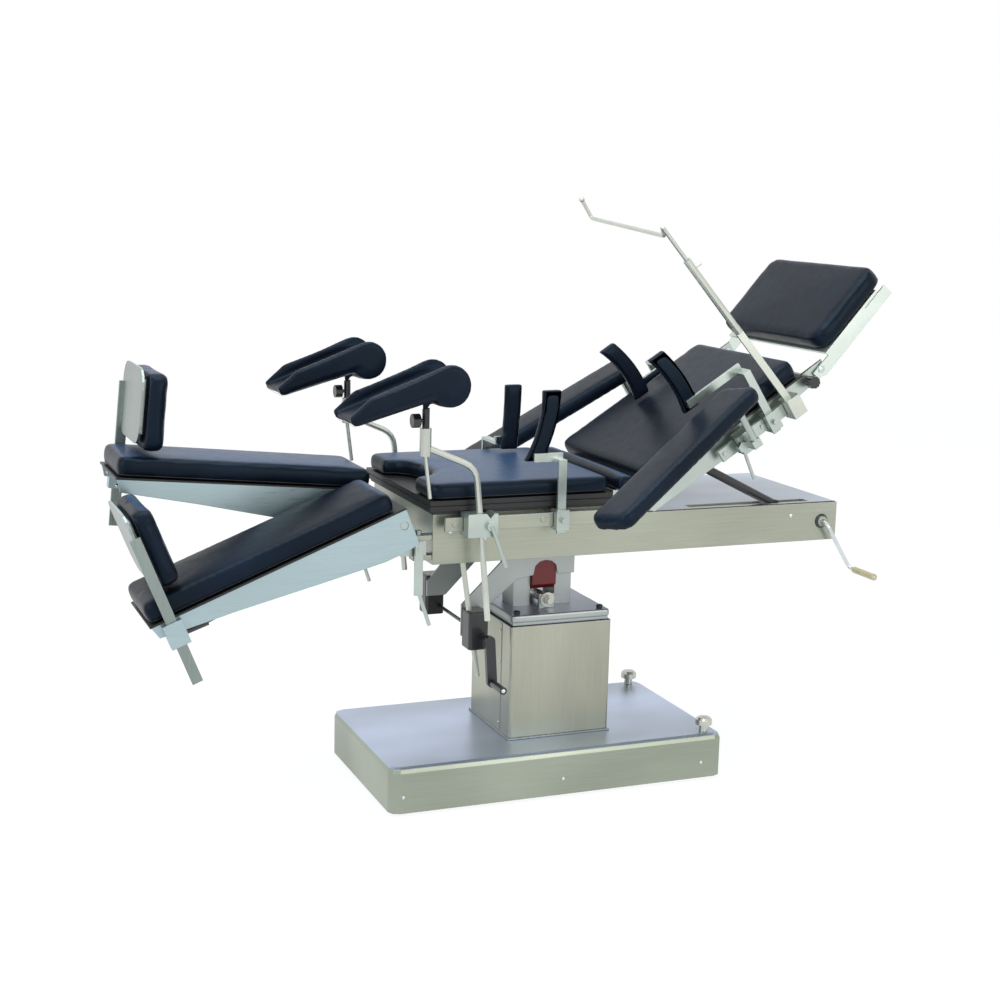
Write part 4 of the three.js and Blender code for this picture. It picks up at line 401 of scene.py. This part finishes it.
# Lid, yoke and tilt drive: a satin grey lid and cradle, a plated worm and a two-tone worm sector.
# Dark domed bolts hold the lid. The sector is painted red at its foot and is bare grey-blue above.
# The lid's first colour is a painted bluish sky reflection on the faces that look up; the second is its
# upright tone.
lid_painted_sky, lid_side = coloured(150, 158, 176), coloured(166, 172, 170)
lid_steel = brushed_steel("lid_steel", lid_painted_sky, lid_side, roughness=0.34, grain=(1, 1, 1))
red_top, paint_edge, bare_metal = 0.601, 0.001, 0.6
sector_red, sector_grey = coloured(120, 26, 28), coloured(96, 104, 118)
sector_grit_scale, sector_grit_dulls, sector_roughness = 60, 0.2, 0.25
sector = Finish("red_sector_paint")
sector_point = sector.add("ShaderNodeTexCoord", out="Object")
sector_height = sector.add("ShaderNodeSeparateXYZ", None, {0: sector_point}, "Z")
bare_share = sector.between(sector_height, red_top, red_top + paint_edge)
sector.feed(sector.shader, {
    "Base Color": sector.blend(bare_share, sector_red, sector_grey),
    "Metallic": bare_share * bare_metal,
    "Roughness": sector.speckle(sector_grit_scale) * sector_grit_dulls + sector_roughness,
})
dress(lid_steel, "column_lid", "tilt_cradle")
dress(sector.material, "tilt_sector")
dress(plated, "tilt_worm")
nut_steel = painted("dark_nut_steel", coloured(62, 66, 72), roughness=0.22, grit_scale=220, metal=0.9)
bolt_reach = Vector((0.119, 0.115))
bolt_foot, bolt_top, bolt_radius, bolt_dome = 0.4625, 0.468, 0.0095, 0.005
lid_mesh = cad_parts["column_lid"].data
lid_mesh.materials.append(nut_steel)
for face in lid_mesh.polygons:
    spread = Vector((abs(face.center.x), abs(face.center.y))) - bolt_reach
    if spread.length < bolt_radius and bolt_foot < face.center.z < bolt_top + bolt_radius:
        face.material_index = len(lid_mesh.materials) - 1
bolt_places = [(x * bolt_reach.x, y * bolt_reach.y, bolt_top) for x in (-1, 1) for y in (-1, 1)]
fasteners("lid_bolts", bolt_places, (0, 0, 1), bolt_radius, bolt_dome, "column", nut_steel)

# Hand drives: two black gearboxes, a black crank with a turned grip, and a plated lead screw.
# The housings are die cast and painted satin black; the screw's thread is rolled.
satin_black = painted("satin_black", coloured(26, 28, 32), roughness=0.3, grit_scale=130, coat=0.3)
grip_black = painted("black_grip", coloured(22, 23, 26), roughness=0.22, grit_scale=40, coat=0.5)
dress(satin_black, "gearbox_near", "gearbox_far", "crank_left")
dress(grip_black, "crank_left_grip")
grip_low, grip_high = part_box("crank_left_grip")
grip_axis = (grip_low + grip_high) / 2
pin_radius, pin_proud = 0.006, 0.003
pin_end = (grip_axis.x, grip_low.y, grip_axis.z)
fasteners("crank_left_pin", [pin_end], (0, -1, 0), pin_radius, pin_proud, "crank_left")
thread_depth, thread_scale, thread_relief = 0.001, 130, 0.2
# The thread's rings carry painted shade in the roots and a painted highlight on the crests.
thread_root_shade, thread_crest_highlight = coloured(182, 186, 176), coloured(214, 216, 204)
thread = Finish("rolled_thread")
thread_sockets = {"Vector": thread.stretched((1, 1, 1)), "Scale": thread_scale}
turns = thread.add("ShaderNodeTexWave", {"bands_direction": "Z"}, thread_sockets)
thread.feed(thread.shader, {
    "Base Color": thread.blend(turns, thread_root_shade, thread_crest_highlight),
    "Metallic": 0.7,
    "Roughness": 0.28,
    "Normal": thread.raised(turns, thread_relief, thread_depth),
})
dress(thread.material, "lead_screw")

# Main beam: a folded stainless channel with its accessory rails, and the right crank in its near face.
# The long faces are brushed along the table; the crank is bent from plated rod and has an ivory grip.
# Small plugs close the holes in the face, and a black strip edges the deck behind the seat.
# The beam's first colour is a painted sky reflection for its top faces; the second is its upright tone.
beam_painted_sky, beam_side = coloured(180, 194, 216), coloured(168, 172, 154)
beam_steel = brushed_steel("beam_steel", beam_painted_sky, beam_side, roughness=0.28, grain=(0.02, 1, 1))
ivory_plastic = painted("ivory_plastic", coloured(206, 194, 152), roughness=0.3, grit_scale=50, coat=0.3)
dress(beam_steel, "beam")
dress(chrome, "crank_right")
dress(ivory_plastic, "crank_right_grip")
beam_low, beam_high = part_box("beam")
crank_low, crank_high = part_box("crank_right")
beam_face, crank_rod_radius, deck_top = -0.235, 0.0055, 0.741
edging_start, edging_width, edging_thickness = 0.19, 0.006, 0.0025
plug_inset, plug_gap, plug_drop, head_plug_x, head_plug_drop = 0.095, 0.09, 0.022, 0.62, 0.01
plug_radius, plug_proud = 0.006, 0.002
foot_plug_x, plug_z = beam_low.x + plug_inset, (beam_low.z + beam_high.z) / 2
plugs = [
    (foot_plug_x, beam_face, plug_z),
    (foot_plug_x + plug_gap, beam_face, plug_z - plug_drop),
    (head_plug_x, beam_face, plug_z - head_plug_drop),
]
fasteners("beam_plugs", plugs, (0, -1, 0), plug_radius, plug_proud, "beam")
edging_ends = (edging_start, beam_high.x - edging_width)
edging_sides = (beam_face, beam_face + edging_width)
edging_levels = (deck_top, deck_top + edging_thickness)
edging_corners = [(x, y, z) for x in edging_ends for y in edging_sides for z in edging_levels]
strip("deck_edging", edging_corners, grip_black, "beam")
collar_place = (crank_low.x + crank_rod_radius, beam_face, crank_high.z - crank_rod_radius)
collar_radius, collar_proud = 0.02, 0.005
fasteners(
    "crank_collar", [collar_place], (0, -1, 0), collar_radius, collar_proud, "beam",
    grip_black,
)

# Seat: two black laminate boards with a recessed seam, under a moulded cushion. Every pad of the table
# is firm foam in welded black-blue vinyl: flat below, lightly crowned above and round at the edges.
# The lying surfaces and the footboards' pads also have a weld bead round the foot.
laminate = painted("black_laminate", coloured(14, 15, 18), roughness=0.38, grit_scale=200, coat=0.1)
dress(laminate, "seat_board")

leather_scale, crease_scale, scuff_scale, leather_depth, leather_relief = 620, 38, 5, 0.0008, 0.22
cell_share, crease_dulls, scuff_dulls, vinyl_roughness = 0.5, 0.16, 0.08, 0.24
shaded_blue, scuffed_blue, lit_blue = coloured(12, 18, 28), coloured(21, 31, 46), coloured(60, 86, 120)
scuff_starts, scuff_full, crease_starts, crease_full, lit_starts = 0.4, 0.8, 0.2, 0.55, 0.93
crease_sheen_share, least_sheen_share, lit_most = 0.15, 0.75, 0.85
vinyl = Finish("dark_vinyl")
vinyl_point = vinyl.stretched((1, 1, 1))
leather_cells = vinyl.add("ShaderNodeTexVoronoi", None, {"Vector": vinyl_point, "Scale": leather_scale})
creases = vinyl.speckle(crease_scale, detail=4)
scuffs = vinyl.speckle(scuff_scale, detail=3)
vinyl_normal = vinyl.add("ShaderNodeTexCoord", out="Normal")
facing = vinyl.add("ShaderNodeSeparateXYZ", None, {0: vinyl_normal}, "Z")
dark_blue = vinyl.blend(vinyl.between(scuffs, scuff_starts, scuff_full), shaded_blue, scuffed_blue)
sheen = (0.55, 0.78, 1, 1)
# Faces that look up get a painted sky sheen in a paler lit blue, patchy with the creases; the darker blues
# are the vinyl's own colour with scuffs.
sheen_by_creases = vinyl.between(creases, crease_starts, crease_full) * crease_sheen_share + least_sheen_share
lit_share = vinyl.between(facing, lit_starts, 1) * sheen_by_creases
vinyl.feed(vinyl.shader, {
    "Base Color": vinyl.blend(lit_share * lit_most, dark_blue, lit_blue),
    "Roughness": creases * crease_dulls + scuffs * scuff_dulls + vinyl_roughness,
    "Specular IOR Level": 0.18,
    "Specular Tint": sheen,
    "Normal": vinyl.raised(leather_cells * cell_share + creases, leather_relief, leather_depth),
})
bead_vinyl = painted("bead_vinyl", coloured(10, 12, 17), roughness=0.34, grit_scale=260)


cloth_steps, cloth_pressure = 12, 3
merge_distance, flat_angle, smoothing = 0.00001, 0.01, 0.5


def settled(piece):
    """Makes the modifiers' result the piece's own mesh."""
    shaped = bpy.data.meshes.new_from_object(piece.evaluated_get(bpy.context.evaluated_depsgraph_get()))
    piece.modifiers.clear()
    piece.data = shaped


def swell(pad, pressure, cap):
    """Blows the vinyl up against its foam; no point moves further than the cap."""
    rest = [vertex.co.copy() for vertex in pad.data.vertices]
    cloth = pad.modifiers.new("vinyl", "CLOTH")
    cloth.settings.use_pressure = True
    cloth.settings.uniform_pressure_force = pressure
    cloth.settings.effector_weights.gravity = 0
    for step in range(1, cloth_steps + 1):
        scene.frame_set(step)
    settled(pad)
    scene.frame_set(1)
    for vertex, start in zip(pad.data.vertices, rest):
        move = vertex.co - start
        if move.length > cap:
            vertex.co = start + move.normalized() * cap


def shrunk(pad, depth):
    """Moves every point of a closed pad inwards."""
    for vertex, normal in [(vertex, vertex.normal.copy()) for vertex in pad.data.vertices]:
        vertex.co -= normal * depth


def shape_of(name, node, keep=None):
    """A copy of a solid's shape; keep is a place and a direction: what lies beyond the place is cut off."""
    work = bmesh.new()
    work.from_mesh(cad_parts[node].data)
    bmesh.ops.remove_doubles(work, verts=work.verts, dist=merge_distance)
    if keep:
        place, outward = keep
        geometry = work.verts[:] + work.edges[:] + work.faces[:]
        bmesh.ops.bisect_plane(work, geom=geometry, plane_co=place, plane_no=outward, clear_outer=True)
        bmesh.ops.holes_fill(work, edges=work.edges)
    return mesh_from(name, work)


def upholstered(name, node, body, voxel=0.008, cap=0.002, slack=0.001, rounds=2, keep=None, fill=0.85):
    """A swollen vinyl pad in the space of a plain solid; keep bounds the part of it that is padded."""
    mesh = shape_of(name, node, keep)
    pad = bpy.data.objects.new(name, mesh)
    scene.collection.objects.link(pad)
    skin = pad.modifiers.new("skin", "REMESH")
    skin.mode = "VOXEL"
    skin.voxel_size = voxel
    ease = pad.modifiers.new("ease", "SMOOTH")
    ease.factor = smoothing
    ease.iterations = rounds
    settled(pad)
    shrunk(pad, slack)
    swell(pad, cloth_pressure, cap)
    settle = pad.modifiers.new("settle", "SMOOTH")
    settle.factor = smoothing
    settle.iterations = 1
    finer = pad.modifiers.new("finer", "SUBSURF")
    finer.levels = 1
    finer.render_levels = 1
    settled(pad)
    pad.data.materials.clear()
    pad.data.materials.append(vinyl.material)
    pad.data.shade_smooth()
    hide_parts(node)
    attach(pad, body)
    return pad


def underside(node):
    """The flat lower face of a plain cushion: its corners, its middle and the direction down from it."""
    work = bmesh.new()
    work.from_mesh(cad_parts[node].data)
    bmesh.ops.remove_doubles(work, verts=work.verts, dist=merge_distance)
    bmesh.ops.dissolve_limit(work, angle_limit=flat_angle, verts=work.verts, edges=work.edges)
    face = max(work.faces, key=lambda face: face.calc_area())
    found = [vertex.co.copy() for vertex in face.verts], face.calc_center_median(), face.normal.copy()
    work.free()
    return found


def black_board(carrier, node, thickness):
    """Gives the board under a cushion its laminate; it is the top of the steel solid that carries it."""
    centre, down = underside(node)[1:]
    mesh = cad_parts[carrier].data
    mesh.materials.append(laminate)
    for face in mesh.polygons:
        depths = [(mesh.vertices[index].co - centre).dot(down) for index in face.vertices]
        if max(depths) < thickness:
            face.material_index = len(mesh.materials) - 1


def weld_bead(name, node, pad, body, rise=0.006, radius=0.0014, sides=6):
    """The raised bead that runs round a cushion just above its flat underside."""
    corners, centre, down = underside(node)
    spacing, search_reach, most_plain_corners = 0.006, 0.03, 30
    route = []
    for here, after in zip(corners, corners[1:] + corners[:1]):
        count = max(1, round((after - here).length / spacing))
        route += [here.lerp(after, step / count) for step in range(count)]
    surface = BVHTree.FromObject(pad, bpy.context.evaluated_depsgraph_get())
    line = []
    for index, place in enumerate(route):
        along = (route[(index + 1) % len(route)] - route[index - 1]).normalized()
        outward = along.cross(down).normalized()
        if outward.dot(place - centre) < 0 and len(corners) < most_plain_corners:
            outward.negate()
        start = place + outward * search_reach - down * rise
        hit = surface.ray_cast(start, -outward, search_reach * 2)[0]
        if hit:
            line.append(hit)
    tube = bmesh.new()
    rings = []
    for index, place in enumerate(line):
        along = (line[(index + 1) % len(line)] - line[index - 1]).normalized()
        across = along.cross(down).normalized()
        ring = []
        for side in range(sides):
            angle = side / sides * math.tau
            spoke = across * math.cos(angle) + down * math.sin(angle)
            ring.append(tube.verts.new(place + spoke * radius))
        rings.append(ring)
    bridged(tube, rings + rings[:1])
    mesh = mesh_from(name, tube)
    mesh.shade_smooth()
    make(name, mesh, bead_vinyl, body)


def cushion(name, node, body, **sizes):
    """An upholstered pad with its weld bead."""
    pad = upholstered(name, node, body, **sizes)
    weld_bead(f"{name}_bead", node, pad, body)
    return pad


wide_grid, narrow_grid, strip_grid, crutch_grid, horn_grid = 0.009, 0.007, 0.006, 0.005, 0.004
cushion("seat_pad", "seat_cushion", "beam")

# Lumbar bridge: a steel lift plate on two ground posts, with its own narrow pad.
# Its pad stands level with the seat and rises through the gap before the back section.
polish = 0.02
fitting_steel = painted(
    "fitting_steel", coloured(178, 188, 182), roughness=0.22, grit_scale=60, metal=0.85, pitting=polish,
)
dress(fitting_steel, "kidney_lift")
cushion("lumbar_pad", "kidney_pad", "lumbar_bridge", voxel=strip_grid)

# Back section: pressed steel side plates joined by cross bars under a black board.
# It turns on pins in the beam's lugs, and a black strut slides in the deck's slot below it.
dress(fitting_steel, "back_frame")
dress(satin_black, "back_strut")
cushion("back_pad", "back_cushion", "back_section", voxel=wide_grid)
board_depth = 0.007
black_board("back_frame", "back_cushion", board_depth)

# Head section: two pale steel arms and a tray, locked by a ribbed black knob.
# The pad is the same firm vinyl as the back with rounder corners, and caps close the pivot pins.
head_steel = painted(
    "head_steel", coloured(208, 218, 210), roughness=0.26, grit_scale=60, metal=0.8, pitting=polish,
)
dress(head_steel, "head_frame")
dress(grip_black, "head_lock_knob")
cushion("head_pad", "head_cushion", "head_section")
head_low, head_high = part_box("head_frame")
head_pivot_x, head_pivot_z = 0.6744, 1.1043
cap_radius, cap_proud = 0.01, 0.003
for side, outward, face_y in (("near", -1, head_low.y), ("far", 1, head_high.y)):
    cap_place = (head_pivot_x, face_y, head_pivot_z)
    cap_name = f"head_pivot_cap_{side}"
    fasteners(cap_name, [cap_place], (0, outward, 0), cap_radius, cap_proud, "head_section")

# Leg sections: a pressed steel tray on a swinging bracket, held by a gas spring with a black tube.
# Each carries a long cushion, a black release lever and a padded footboard on a post.
# The tray's first colour is a painted sky reflection for faces that look up; the second is its upright
# tone.
tray_painted_sky, tray_side = coloured(184, 206, 216), coloured(168, 190, 194)
tray_steel = brushed_steel(
    "tray_steel", tray_painted_sky, tray_side, roughness=0.27, grain=(0.03, 1, 1), shade=0.3,
)
# The footboard's first colour is a painted sky reflection for faces that look up; the second is its upright
# tone.
panel_painted_sky, panel_side = coloured(176, 190, 190), coloured(138, 150, 144)
panel_grey = brushed_steel("footboard_steel", panel_painted_sky, panel_side, roughness=0.3, grain=(1, 1, 0.05))
tray_length, plate_inset, tray_screw_radius, tray_screw_proud = 0.65, 0.002, 0.0045, 0.002
tray_screw_spots = ((0.47, 0.026), (0.43, 0.06), (0.3, 0.03), (-0.05, 0.04))
for side in ("near", "far"):
    dress(tray_steel, f"leg_tray_{side}")
    dress(fitting_steel, f"leg_bracket_{side}")
    dress(satin_black, f"gas_tube_{side}")
    dress(chrome, f"gas_rod_{side}")
    dress(grip_black, f"leg_release_lever_{side}")
    dress(panel_grey, f"footboard_frame_{side}")
    cushion(f"leg_pad_{side}", f"leg_cushion_{side}", f"leg_section_{side}", voxel=wide_grid)
    cushion(f"foot_pad_{side}", f"footboard_pad_{side}", f"footboard_{side}", voxel=narrow_grid)
    black_board(f"leg_tray_{side}", f"leg_cushion_{side}", board_depth)
    outward = -1 if side == "near" else 1
    corners, centre, down = underside(f"leg_cushion_{side}")
    along = Vector((down.z, 0, -down.x)) * math.copysign(1, -down.z)
    plate_y = (max(corner.y * outward for corner in corners) - plate_inset) * outward
    tray_screws = []
    for share, drop in tray_screw_spots:
        place = centre + along * tray_length * share + down * drop
        tray_screws.append((place.x, plate_y, place.z))
    fasteners(
        f"tray_screws_{side}", tray_screws, (0, outward, 0), tray_screw_radius, tray_screw_proud,
        f"leg_section_{side}",
    )

# Leg supports: a cast rail clamp with a wing handle, a bent plated rod and a padded knee crutch.
# The crutch is one moulded vinyl saddle; its stem and lock knob below are black plastic.
bright_rod = painted(
    "bright_rod", coloured(198, 202, 192), roughness=0.22, grit_scale=120, metal=0.75, pitting=polish,
)


def padded_and_bare(node, body, place, outward, bare, bare_slot, **sizes):
    """Splits a solid at a plane into a vinyl pad and its hard fitting."""
    upholstered(f"{node}_vinyl", node, body, keep=(place, outward), **sizes)
    fitting = shape_of(f"{node}_fitting", node, (place, -outward))
    make(f"{node}_fitting", fitting, bare, body)


toe_share, knee_reach_share, knee_share, crutch_cap, moulded_rounds = 0.09, 0.83, 0.33, 0.003, 4
for side in ("near", "far"):
    dress(fitting_steel, f"leg_support_clamp_{side}")
    dress(bright_rod, f"leg_support_rod_{side}")
    node = f"leg_support_pad_{side}"
    pad_low, pad_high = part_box(node)
    pad_size = pad_high - pad_low
    toe_place = Vector((pad_low.x, 0, pad_low.z + pad_size.z * toe_share))
    knee_x, knee_z = pad_low.x + pad_size.x * knee_reach_share, pad_low.z + pad_size.z * knee_share
    knee_place = Vector((knee_x, 0, knee_z))
    along_base = (knee_place - toe_place).normalized()
    below_base = Vector((along_base.z, 0, -along_base.x))
    padded_and_bare(
        node, node, knee_place, below_base, satin_black, "black_plastic",
        voxel=crutch_grid, cap=crutch_cap, rounds=moulded_rounds,
    )

# Armboards: flat vinyl pads on swivelling posts, clamped to the back section's rails.
# The clamps are cast and polished, each with a lever handle.
for side in ("near", "far"):
    dress(fitting_steel, f"armboard_bracket_{side}")
    upholstered(f"arm_pad_{side}", f"armboard_{side}", f"armboard_{side}", voxel=narrow_grid)

# Side supports: upright horn-shaped pads on flat bent bars, each clamped to a rail.
# The bars are polished strip; the pads are moulded foam with the same vinyl skin.
horn_depth = 0.024
for side, inward in (("near", 1), ("far", -1)):
    for section in ("seat", "back"):
        node = f"side_support_{section}_{side}"
        inner_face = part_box(node)[inward > 0].y
        padded_and_bare(
            node, node, Vector((0, inner_face - inward * horn_depth, 0)), Vector((0, -inward, 0)),
            fitting_steel, "pale_steel", voxel=horn_grid, rounds=moulded_rounds,
        )

# Anaesthesia screen: a flat post with a sliding sleeve, and a thin bent rod over the table.
# The rod is plated and ends in a small ball; the post is clamped to the near back rail.
dress(bright_rod, "screen_post", "screen_rod")
